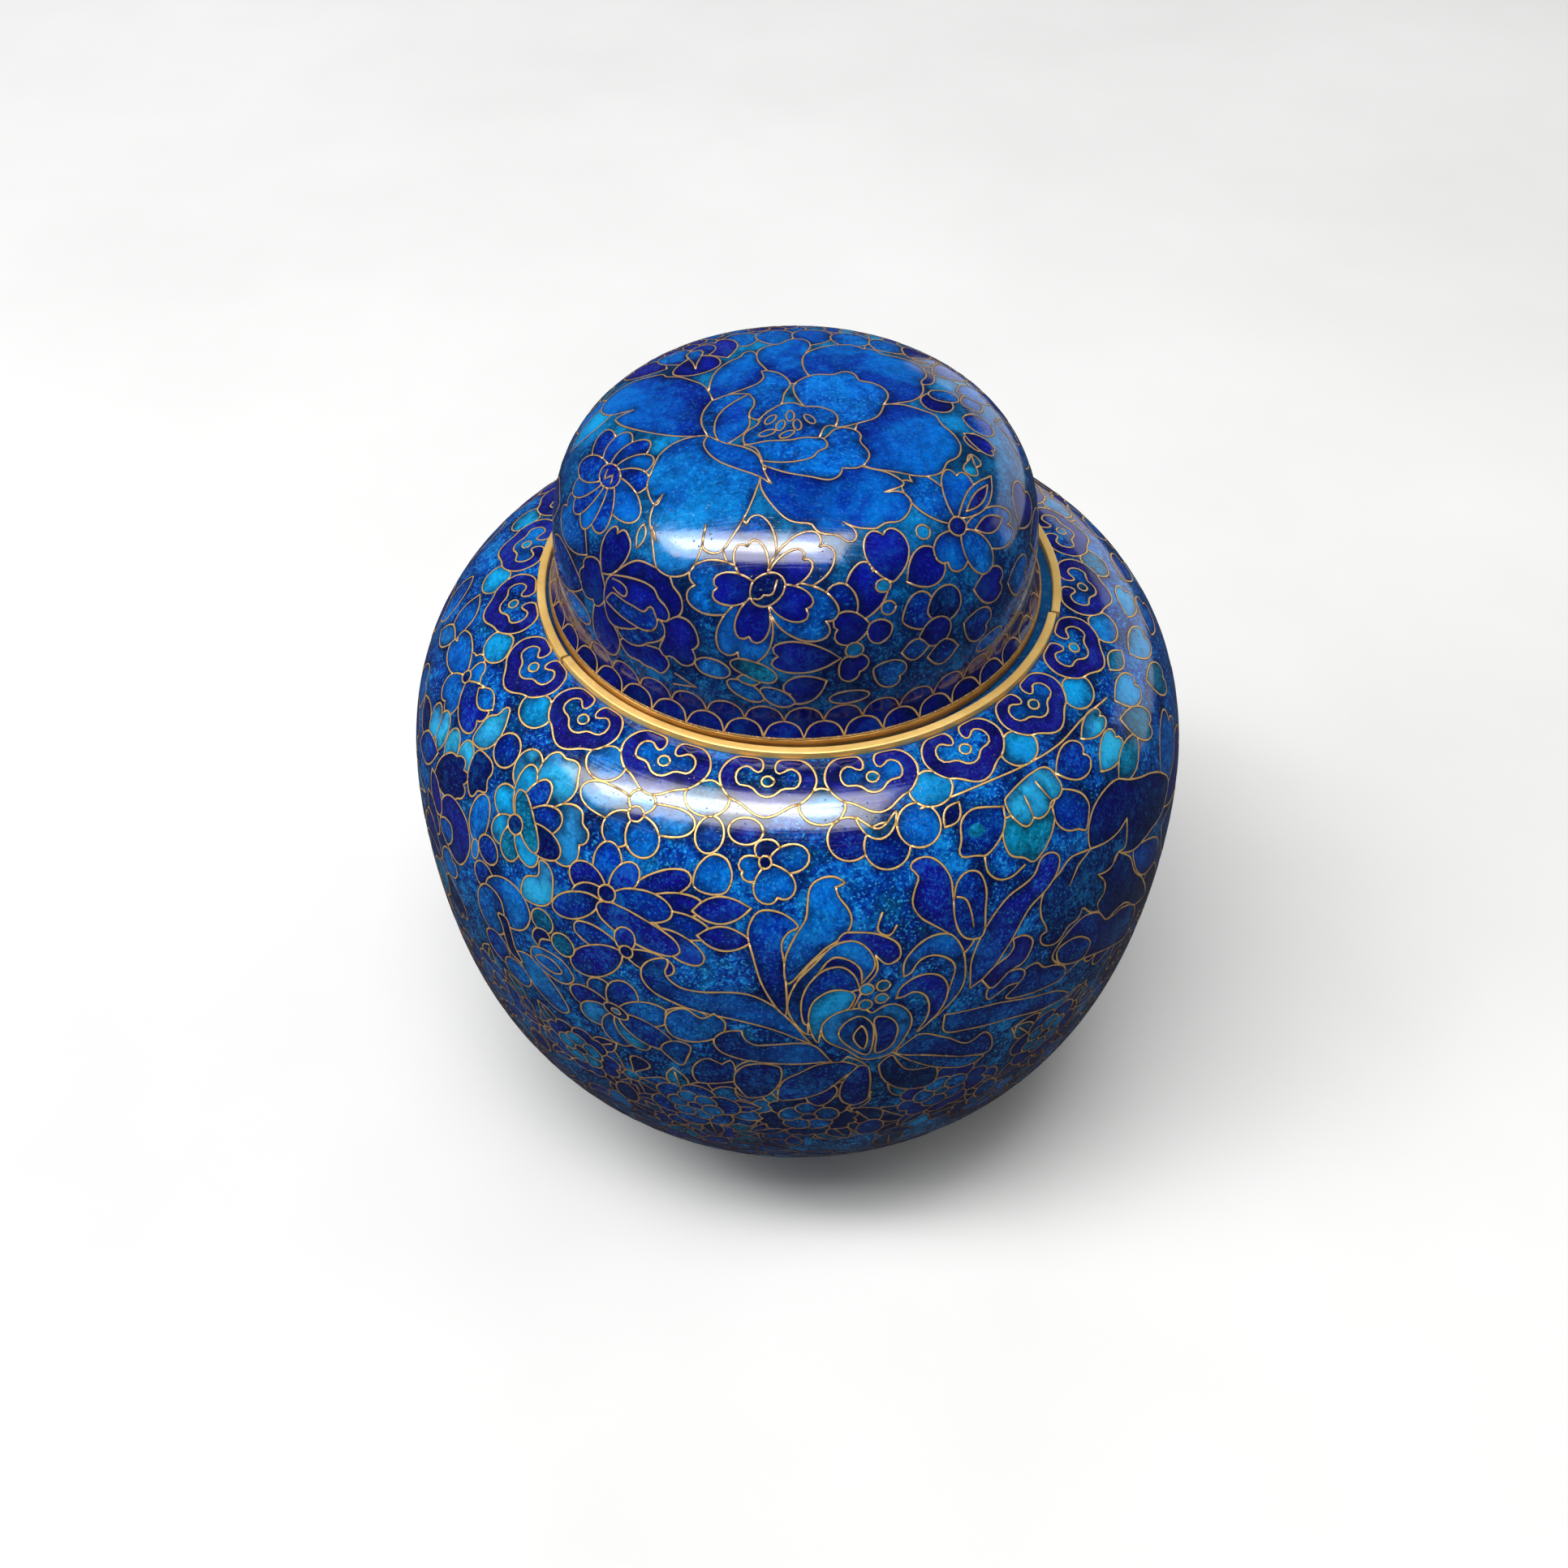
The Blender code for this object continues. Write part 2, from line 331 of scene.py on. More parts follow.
def tessellate(cv, spacing, sectors=()):
    """Flat triangulation of the canvas with the topmost cell of each triangle."""
    f = cv.f
    outer = f.p0 + f.end
    pts, edges, owner = [], [], []

    def add_chain(p, own, closed):
        i0 = len(pts)
        pts.extend(map(tuple, p))
        m = len(p)
        for i in range(m if closed else m - 1):
            edges.append((i0 + i, i0 + (i + 1) % m))
            owner.append(own)

    ring = 2 * np.pi * np.arange(NSEG) / NSEG
    add_chain(np.stack([outer * np.cos(ring), outer * np.sin(ring)], -1), None, True)
    if f.p0:
        add_chain(np.stack([f.p0 * np.cos(ring), f.p0 * np.sin(ring)], -1), None, True)
    for a in sectors:
        m = int(f.end / 1.2)
        s = np.linspace(0, f.end, m + 1)[1:-1]
        add_chain(f.plane(np.full(m - 1, float(a)), s), None, False)
    for i, c in enumerate(cv.cells):
        add_chain(c["p"], ("c", i), True)
    for i, (order, p) in enumerate(cv.lines):
        rho = np.hypot(p[:, 0], p[:, 1])
        k = np.clip(rho, f.p0 + (0.12 if f.p0 else 0), outer - 0.12) / np.maximum(rho, 1e-9)
        add_chain(p * k[:, None], ("w", i), False)
    # even points between the outlines
    taken = set()
    arr = np.array(pts)
    cell = 0.45
    key = np.floor(arr / cell).astype(int)
    for kx, ky in map(tuple, key):
        for dx in (-1, 0, 1):
            for dy in (-1, 0, 1):
                taken.add((kx + dx, ky + dy))
    s = spacing * 0.6
    row = 0
    while s < f.end - spacing * 0.4:
        r = float(f.radius(s))
        m = max(6, int(2 * math.pi * r / spacing))
        a = (np.arange(m) + 0.5 * (row % 2)) * 360.0 / m
        p = f.plane(a, np.full(m, s))
        k = np.floor(p / cell).astype(int)
        for q, kk in zip(p, map(tuple, k)):
            if kk not in taken:
                pts.append(tuple(q))
        s += spacing * 0.87
        row += 1
    res = delaunay_2d_cdt([Vector(q) for q in pts], edges, [], 0, 1e-3, True)
    v = np.array([(q[0], q[1]) for q in res[0]])
    tri = np.array([t for t in res[2] if len(t) == 3])
    cen = v[tri].mean(1)
    if f.p0:
        keep = ~inside(np.stack([f.p0 * np.cos(ring), f.p0 * np.sin(ring)], -1), cen)
        tri, cen = tri[keep], cen[keep]
    a, b, c = v[tri[:, 0]], v[tri[:, 1]], v[tri[:, 2]]
    area = (b[:, 0] - a[:, 0]) * (c[:, 1] - a[:, 1]) - (b[:, 1] - a[:, 1]) * (c[:, 0] - a[:, 0])
    tri[area < 0] = tri[area < 0][:, ::-1]
    label = np.full(len(tri), -1)
    order = np.argsort(cen[:, 0], kind="stable")
    cx, cy = cen[order, 0], cen[order, 1]
    for i, c in enumerate(cv.cells):
        p = c["p"]
        lo, hi = np.searchsorted(cx, (p[:, 0].min(), p[:, 0].max()))
        sel = order[lo:hi]
        sel = sel[(cy[lo:hi] > p[:, 1].min()) & (cy[lo:hi] < p[:, 1].max())]
        if len(sel):
            label[sel[inside(p, cen[sel])]] = i
    # which edges carry a wire
    side = {}
    for t, (i, j, k) in enumerate(tri.tolist()):
        for e in ((i, j), (j, k), (k, i)):
            side.setdefault((min(e), max(e)), []).append(t)
    wires = []
    for (i, j), src in zip(res[1], res[4]):
        if not src:
            continue
        ts = side.get((min(i, j), max(i, j)))
        if not ts or len(ts) < 2:
            continue
        l0, l1 = int(label[ts[0]]), int(label[ts[1]])
        for n in src:
            own = owner[n] if n < len(owner) else None
            if own is None:
                continue
            if own[0] == "c":
                if l0 != l1 and own[1] in (l0, l1) and cv.cells[own[1]]["wire"] \
                        and own[1] == max(l0, l1):
                    wires.append((i, j))
                    break
            elif l0 < cv.lines[own[1]][0] and l1 < cv.lines[own[1]][0]:
                wires.append((i, j))
                break
    return v, tri, label, wires


def chains(pairs, pos):
    """Joins edges into chains, broken at junctions and at sharp turns."""
    nb = {}
    for i, j in pairs:
        nb.setdefault(i, []).append(j)
        nb.setdefault(j, []).append(i)

    def straight(i):
        if len(nb[i]) != 2:
            return False
        a, b = pos[nb[i][0]] - pos[i], pos[nb[i][1]] - pos[i]
        return float(a @ b) < -0.25 * float(np.linalg.norm(a) * np.linalg.norm(b))

    ok = {i: straight(i) for i in nb}
    used, out = set(), []

    def walk(i, j):
        ch = [i, j]
        used.add((min(i, j), max(i, j)))
        while ok[ch[-1]]:
            n = [k for k in nb[ch[-1]] if (min(k, ch[-1]), max(k, ch[-1])) not in used]
            if not n:
                break
            used.add((min(n[0], ch[-1]), max(n[0], ch[-1])))
            ch.append(n[0])
        return ch

    for i in sorted(nb):
        if not ok[i]:
            for j in nb[i]:
                if (min(i, j), max(i, j)) not in used:
                    out.append(walk(i, j))
    for i in sorted(nb):
        for j in nb[i]:
            if (min(i, j), max(i, j)) not in used:
                out.append(walk(i, j))
    return out


def thin_out(p, tol):
    """Indices that keep a 3-D chain within tol of itself (mm)."""
    keep = {0, len(p) - 1}
    if len(p) > 3 and np.linalg.norm(p[0] - p[-1]) < 1e-6:
        keep.add(len(p) // 2)
    stack = []
    ks = sorted(keep)
    stack += list(zip(ks, ks[1:]))
    while stack:
        a, b = stack.pop()
        if b - a < 2:
            continue
        d = p[b] - p[a]
        n = float(np.linalg.norm(d))
        q = p[a + 1:b] - p[a]
        if n < 1e-9:
            e = np.linalg.norm(q, axis=1)
        else:
            e = np.linalg.norm(q - np.outer(q @ d / n ** 2, d), axis=1)
        m = int(np.argmax(e))
        if e[m] > tol or n > 2.6:
            m += a + 1
            keep.add(m)
            stack += [(a, m), (m, b)]
    return sorted(keep)


# wire section: offset across and height over the enamel, mm
SECTION = np.array([(-0.27, 0.0), (-0.165, 0.035), (0.165, 0.035), (0.27, 0.0), (0.0, -0.10)])


def ribbons(cv, v, pairs, width=1.0):
    """Closed ribbons along the wires. Returns vertices, faces, materials, uv keys."""
    th, s = cv.f.from_plane(v)
    pos, nrm = cv.f.point(th, s)
    V, F, M, TS = [], [], [], []
    base = 0
    for ch in chains(pairs, pos):
        p, n = pos[ch], nrm[ch]
        q = p.copy()
        if len(ch) > 4:                 # take out the outline's small corners
            q[1:-1] = 0.25 * p[:-2] + 0.5 * p[1:-1] + 0.25 * p[2:]
        ks = thin_out(q, 0.022)
        q, n, idx = q[ks], n[ks], np.array(ch)[ks]
        if len(q) < 2:
            continue
        closed = ch[0] == ch[-1]
        t = np.empty_like(q)
        t[1:-1] = q[2:] - q[:-2]
        t[0], t[-1] = q[1] - q[0], q[-1] - q[-2]
        if closed:
            t[0] = t[-1] = q[1] - q[-2]
        t /= np.linalg.norm(t, axis=1, keepdims=True) + 1e-12
        if not closed:
            q[0] -= t[0] * 0.10
            q[-1] += t[-1] * 0.10
        side = np.cross(t, n)
        side /= np.linalg.norm(side, axis=1, keepdims=True) + 1e-12
        w = width * (1.0 + 0.13 * np.sin(q.sum(1) * 1.7) + 0.07 * np.sin(q[:, 0] * 5.1))
        m = len(q)
        rows = (q[:, None] + side[:, None] * (SECTION[:, 0][None, :, None] * w[:, None, None])
                + n[:, None] * SECTION[:, 1][None, :, None])
        V.append(rows.reshape(-1, 3))
        TS.append(np.repeat(np.stack([th[idx], s[idx]], -1), 5, 0))
        a = base + 5 * np.arange(m - 1)
        for j in range(5):
            k = (j + 1) % 5
            F.append(np.stack([a + j, a + k, a + 5 + k, a + 5 + j], -1))
            M.append(np.full(m - 1, 0 if j == 1 else 1))
        e = base + 5 * (m - 1)
        F.append(np.array([[base + 3, base + 2, base + 1, base],
                           [base + 4, base + 3, base, base],
                           [e, e + 1, e + 2, e + 3], [e, e + 3, e + 4, e + 4]]))
        M.append(np.ones(4, int))
        base += 5 * m
    return np.concatenate(V), np.concatenate(F), np.concatenate(M), np.concatenate(TS)


def new_mesh(name, verts, faces, normals=None):
    """Mesh from mm vertices and faces given as tuples; quads may repeat a corner."""
    me = bpy.data.meshes.new(name)
    clean = [tuple(f[:3]) if len(f) == 4 and f[3] == f[2] else tuple(f) for f in faces]
    me.from_pydata((np.asarray(verts) * MM).tolist(), [], clean)
    me.update()
    me.shade_smooth()
    if normals is not None:
        me.normals_split_custom_set_from_vertices(np.asarray(normals).tolist())
    ob = bpy.data.objects.new(name, me)
    bpy.context.scene.collection.objects.link(ob)
    return ob


def set_uv(ob, uv):
    layer = ob.data.uv_layers.new(name="OFBake")
    layer.data.foreach_set("uv", np.asarray(uv, np.float32).ravel())


# ---- materials ---------------------------------------------------------------------
class Nodes:
    def __init__(self, name):
        self.m = bpy.data.materials.new(name)
        self.m.use_nodes = True
        self.t = self.m.node_tree
        self.b = self.t.nodes["Principled BSDF"]

    def new(self, kind, **props):
        n = self.t.nodes.new(kind)
        for k, x in props.items():
            setattr(n, k, x)
        return n

    def link(self, a, b):
        self.t.links.new(a, b)

    def coords(self, scale=(1, 1, 1), kind="Object"):
        c = self.new("ShaderNodeTexCoord")
        m = self.new("ShaderNodeMapping")
        m.inputs["Scale"].default_value = scale
        self.link(c.outputs[kind], m.inputs["Vector"])
        return m.outputs["Vector"]

    def noise(self, vec, scale, detail=3.0, rough=0.55, distort=0.0):
        n = self.new("ShaderNodeTexNoise")
        n.inputs["Scale"].default_value = scale
        n.inputs["Detail"].default_value = detail
        n.inputs["Roughness"].default_value = rough
        n.inputs["Distortion"].default_value = distort
        self.link(vec, n.inputs["Vector"])
        return n.outputs["Fac"]

    def ramp(self, fac, lo, hi, v0=0.0, v1=1.0):
        n = self.new("ShaderNodeMapRange")
        n.inputs["From Min"].default_value = lo
        n.inputs["From Max"].default_value = hi
        n.inputs["To Min"].default_value = v0
        n.inputs["To Max"].default_value = v1
        self.link(fac, n.inputs["Value"])
        return n.outputs["Result"]

    def mix(self, fac, a, b, blend="MIX"):
        n = self.new("ShaderNodeMix", data_type="RGBA", blend_type=blend)
        ins = {s.identifier: s for s in n.inputs}
        for key, val in (("Factor_Float", fac), ("A_Color", a), ("B_Color", b)):
            sock = ins[key]
            if isinstance(val, (int, float)):
                sock.default_value = val
            elif isinstance(val, (tuple, list, np.ndarray)):
                sock.default_value = (*val, 1.0)
            else:
                self.link(val, sock)
        return {s.identifier: s for s in n.outputs}["Result_Color"]

    def math(self, op, a, b):
        n = self.new("ShaderNodeMath", operation=op)
        for sock, val in zip(n.inputs, (a, b)):
            if isinstance(val, (int, float)):
                sock.default_value = val
            else:
                self.link(val, sock)
        return n.outputs["Value"]

    def bump(self, height, strength, dist_mm, normal=None):
        n = self.new("ShaderNodeBump")
        n.inputs["Strength"].default_value = strength
        n.inputs["Distance"].default_value = dist_mm * MM
        self.link(height, n.inputs["Height"])
        if normal is not None:
            self.link(normal, n.inputs["Normal"])
        return n.outputs["Normal"]


def enamel_material():
    m = Nodes("enamel")
    at = m.new("ShaderNodeAttribute", attribute_name="tint")
    mo = m.new("ShaderNodeAttribute", attribute_name="mottle")
    ri = m.new("ShaderNodeAttribute", attribute_name="rim")
    co = m.coords()
    big = m.noise(co, 150, 3, 0.6, 0.5)          # clouds of some millimetres
    mid = m.noise(co, 820, 5, 0.76, 0.5)         # drifting grains of the frit
    fine = m.noise(co, 2300, 2, 0.6)             # single grains
    pits = m.noise(co, 1700, 1, 0.5)
    hue = m.noise(co, 260, 4, 0.65, 0.4)
    slow = m.noise(co, 95, 2, 0.55, 0.6)         # broad, quiet change of the petals
    tone = m.math("ADD", m.math("MULTIPLY", big, 0.42), m.math("MULTIPLY", mid, 0.58))
    deep = m.mix(m.ramp(mo.outputs["Fac"], 0.1, 0.9, 0.30, 0.78), at.outputs["Color"], lin((0, 6, 62)))
    c = m.mix(m.ramp(tone, 0.41, 0.53), deep, at.outputs["Color"])
    bright = m.mix(0.55, at.outputs["Color"], lin((14, 150, 226)))
    c = m.mix(m.math("MULTIPLY", m.ramp(tone, 0.51, 0.59), mo.outputs["Fac"]), c, bright)
    calm = m.math("MULTIPLY", m.ramp(slow, 0.46, 0.58), m.ramp(mo.outputs["Fac"], 0.24, 0.5, 1.0, 0.35))
    c = m.mix(calm, c, m.mix(1.0, c, (0.9, 0.36, 0.70), "MULTIPLY"))
    # greener drifts in the open ground and the azure
    green = m.math("MULTIPLY", m.ramp(hue, 0.50, 0.66), m.ramp(mo.outputs["Fac"], 0.1, 0.8, 0.05, 0.42))
    c = m.mix(green, c, lin((0, 88, 118)))
    g = m.math("MULTIPLY", m.ramp(fine, 0.56, 0.66), m.ramp(mo.outputs["Fac"], 0.1, 1, 0.03, 0.6))
    c = m.mix(g, c, lin((52, 170, 232)))
    c = m.mix(m.math("MULTIPLY", m.ramp(fine, 0.42, 0.30), m.ramp(mo.outputs["Fac"], 0.1, 1, 0.15, 0.6)),
              c, lin((0, 6, 56)))
    # the frit settles darker against the wires
    edge = m.math("MULTIPLY", m.ramp(ri.outputs["Fac"], 0.15, 1.0, 1.0, 0.0), m.ramp(big, 0.36, 0.62, 0.85, 0.20))
    c = m.mix(edge, c, lin((0, 5, 44)))
    c = m.mix(m.ramp(pits, 0.735, 0.77, 0.0, 0.75), c, lin((6, 8, 30)))
    m.link(c, m.b.inputs["Base Color"])
    streak = m.noise(m.coords((14, 620, 1), "UV"), 1.0, 4, 0.7)
    r = m.math("ADD", m.ramp(mid, 0.3, 0.75, 0.07, 0.14), m.ramp(streak, 0.50, 0.72, 0.0, 0.20))
    m.link(m.math("ADD", r, m.ramp(pits, 0.73, 0.77, 0.0, 0.4)), m.b.inputs["Roughness"])
    n = m.bump(big, 0.30, 0.10)
    n = m.bump(mid, 0.30, 0.012, n)
    n = m.bump(streak, 0.25, 0.004, n)
    n = m.bump(m.ramp(pits, 0.72, 0.77, 1.0, 0.0), 0.5, 0.03, n)
    m.link(n, m.b.inputs["Normal"])
    m.b.inputs["Specular IOR Level"].default_value = 0.5
    m.b.inputs["IOR"].default_value = 1.6
    return m.m


def metal_material(name, deep, light, rough, grain, tarnish, dark=0.0, metallic=1.0):
    """Gilt or bare wire with colour drift, rubbed streaks and tarnish."""
    m = Nodes(name)
    co = m.coords()
    a = m.noise(co, 90, 4, 0.6, 0.5)
    b = m.noise(co, 700, 4, 0.65)
    c = m.noise(co, grain, 2, 0.6)
    col = m.mix(m.ramp(a, 0.35, 0.66), lin(deep), lin(light))
    col = m.mix(m.math("MULTIPLY", m.ramp(b, 0.55, 0.78), tarnish), col, lin((70, 40, 24)))
    col = m.mix(m.ramp(c, 0.62, 0.8, 0.0, 0.35 + dark), col, lin((46, 30, 26)))
    m.link(col, m.b.inputs["Base Color"])
    m.b.inputs["Metallic"].default_value = metallic
    r = m.math("ADD", m.ramp(b, 0.3, 0.7, rough - 0.07, rough + 0.1),
               m.ramp(a, 0.4, 0.7, -0.03, 0.06))
    m.link(r, m.b.inputs["Roughness"])
    n = m.bump(b, 0.35, 0.02)
    n = m.bump(c, 0.3, 0.008, n)
    m.link(n, m.b.inputs["Normal"])
    return m.m


def wire_material():
    """Beige gold on the shoulder and lid; the copper brown lower down is painted shade and painted reflection."""
    m = Nodes("wire_gilt")
    co = m.coords()
    sep = m.new("ShaderNodeSeparateXYZ")
    m.link(co, sep.inputs["Vector"])
    a = m.noise(co, 160, 4, 0.6, 0.5)
    b = m.noise(co, 1500, 3, 0.6)
    # painted shade and reflection: the wires turn browner and darker towards the bottom of the jar
    h = m.math("ADD", m.ramp(sep.outputs["Z"], 0.026, 0.084), m.ramp(a, 0.3, 0.7, -0.3, 0.3))
    col = m.mix(h, lin((116, 72, 48)), lin((230, 186, 116)))
    # duller and browner again on the lid
    col = m.mix(m.ramp(sep.outputs["Z"], 0.1045, 0.109), col, lin((184, 148, 106)))
    col = m.mix(m.ramp(b, 0.56, 0.76, 0.0, 0.65), col, lin((92, 60, 46)))
    m.link(col, m.b.inputs["Base Color"])
    m.b.inputs["Metallic"].default_value = 0.55
    m.link(m.ramp(b, 0.3, 0.7, 0.36, 0.56), m.b.inputs["Roughness"])
    m.link(m.bump(b, 0.4, 0.008), m.b.inputs["Normal"])
    return m.m


def edge_joint_and_shadow_material():
    """Dark line where a wire meets the enamel: partly a dark joint, partly painted shadow of the wire."""
    m = Nodes("wire_edge_joint_and_shadow")
    co = m.coords()
    a = m.noise(co, 500, 3, 0.6)
    col = m.mix(m.ramp(a, 0.35, 0.7), lin((10, 12, 44)), lin((34, 30, 62)))
    m.link(col, m.b.inputs["Base Color"])
    m.link(m.ramp(a, 0.3, 0.7, 0.22, 0.42), m.b.inputs["Roughness"])
    m.link(m.bump(a, 0.3, 0.008), m.b.inputs["Normal"])
    return m.m


def plain_enamel(name, deep, light, speck, rough):
    """Counter-enamel or ledge: one colour with frit grain and pits."""
    m = Nodes(name)
    co = m.coords()
    a = m.noise(co, 70, 4, 0.6, 0.5)
    b = m.noise(co, 800, 4, 0.65)
    c = m.noise(co, 1500, 1, 0.5)
    col = m.mix(m.ramp(a, 0.35, 0.68), lin(deep), lin(light))
    col = m.mix(m.ramp(b, 0.55, 0.8, 0.0, 0.5), col, lin(speck))
    col = m.mix(m.ramp(c, 0.72, 0.76, 0.0, 0.7), col, lin((8, 10, 24)))
    m.link(col, m.b.inputs["Base Color"])
    m.link(m.ramp(b, 0.3, 0.7, rough - 0.04, rough + 0.08), m.b.inputs["Roughness"])
    n = m.bump(a, 0.5, 0.25)
    n = m.bump(b, 0.35, 0.03, n)
    m.link(n, m.b.inputs["Normal"])
    return m.m


# ---- generic motifs ----------------------------------------------------------------
def blossom(cv, c, size, outer, inner, eye, n=5, kind="heart", rot=0.0):
    for i in range(n):
        a = rot + 360.0 * i / n
        cv.pet(cv.polar(c, a, size * 0.12), cv.polar(c, a, size * rng.uniform(0.92, 1.06)),
               size * (4.6 / n), kind, outer)
    for i in range(n):
        a = rot + 360.0 * (i + 0.5) / n
        cv.pet(cv.polar(c, a, size * 0.1), cv.polar(c, a, size * 0.62), size * (2.9 / n),
               "round", inner)
    cv.ell(c, size * 0.17, size * 0.15, eye)


def leaf(cv, base, tip, width, col, bend=0.0, vein=True, kind="leaf"):
    cv.pet(base, tip, width, kind, col, bend)
    if vein:
        b, t = np.array(base), np.array(tip)
        cv.line([tuple(b + (t - b) * 0.12), tuple(b + (t - b) * 0.5), tuple(b + (t - b) * 0.82)])


def bud(cv, c, size, ang, a, b):
    tip = cv.polar(c, ang, size)
    cv.pet(cv.polar(c, ang + 180, size * 0.3), tip, size * 0.95, "drop", a)
    for d in (-34, 34):
        cv.pet(cv.polar(c, ang + 180, size * 0.35), cv.polar(c, ang + d, size * 0.62),
               size * 0.5, "leaf", b)


def scatter(cv, t0, t1, s0, s1, pitch, size, mixes, leaves="nre"):
    """Even, slightly shaken rows of blossoms with leaves and buds between."""
    s, row = s0, 0
    while s <= s1:
        k = max(12.0, float(cv.f.radius(s))) * RAD
        n = max(1, int(round(abs(t1 - t0) * k / pitch)))
        for i in range(n):
            th = t0 + (t1 - t0) * (i + 0.5 * (row % 2) + 0.25) / n + rng.uniform(-1.5, 1.5)
            c = (th, s + rng.uniform(-1.5, 1.5))
            z = size * rng.uniform(0.8, 1.15)
            for q in range(3):
                a = rng.uniform(0, 360)
                leaf(cv, cv.polar(c, a, z * 0.6), cv.polar(c, a + rng.uniform(-15, 15), z * 1.55),
                     z * 0.62, leaves[rng.randint(len(leaves))], rng.uniform(-0.1, 0.1))
            what = rng.randint(6)
            m = mixes[rng.randint(len(mixes))]
            if what < 4:
                blossom(cv, c, z, m[0], m[1], m[2], (5, 6)[rng.randint(2)],
                        ("heart", "round", "scal")[rng.randint(3)], rng.uniform(0, 72))
            elif what == 4:
                bud(cv, c, z * 0.8, rng.uniform(0, 360), m[0], m[1])
            else:
                cv.flower(c, 6, z * 0.1, z * 0.75, z * 0.4, "drop", m[0] + m[1],
                          rng.uniform(0, 60))
                cv.ell(c, z * 0.16, z * 0.16, m[2])
        s += pitch * 0.82
        row += 1


MIXES = ("acn", "rlt", "tnc", "vac", "crt", "nae", "lrn", "cta")


# ---- the body's picture --------------------------------------------------------------
def ruyi_border(cv, centres):
    outer = [(1.9, 2.6), (1.1, 1.7), (1.3, .7), (2.3, .1), (4, -.2), (6, .1), (7.7, .9),
             (8.6, 2), (9, 3.3), (8.3, 4.9), (7.1, 6.1), (5.7, 6.9), (4.5, 7.1, 1), (3.5, 7.6),
             (2, 8.5), (0, 9, 1)]
    inner = [(1.9, 2.6), (2.9, 2.2), (3.6, 1.6), (4.3, 1.5), (5.3, 1.9), (6, 2.8), (6.1, 3.6),
             (5.5, 4.4), (4.3, 4.7), (3.2, 4.5), (2.4, 4.9), (1.5, 5.7), (0, 6.1, 1)]
    n = len(centres)
    for i in range(n):
        a, b = centres[i], centres[(i + 1) % n] + (360 if i == n - 1 else 0)
        m = (a + b) / 2
        cv.cell([(m, 4.6), (m + 2.4, 5.6), (m + 3.9, 7.2), (m + 2.6, 9.2), (m, 9.9),
                 (m - 2.6, 9.2), (m - 3.9, 7.2), (m - 2.4, 5.6)], "tttlet"[i % 6])
    for i, c in enumerate(centres):
        g = min(c - centres[i - 1] if i else 19.1,
                centres[i + 1] - c if i + 1 < n else 19.1) / 19.2
        g = min(1.0, g)

        def side(h, k):
            return [(c + k * q[0] * g, q[1]) + tuple(q[2:]) for q in h]
        # the clear inner field, then the violet band hooked round it
        field = side(inner, 1) + side(inner[-2:0:-1], -1) + [(c - 1.9 * g, 2.6), (c - 1.6, 0.2), (c + 1.6, 0.2)]
        cv.cell(field, "agagag"[i % 6], wire=False, tint=0.1 * math.cos(i * 1.7))
        cv.cell(side(outer, 1) + side(outer[-2::-1], -1) + side(inner[1:], -1) + side(inner[-2:0:-1], 1),
                "v", tint=0.25 * math.sin(i * 2.3))
        cv.ell((c, 3.7), 0.95, 0.9, "t")


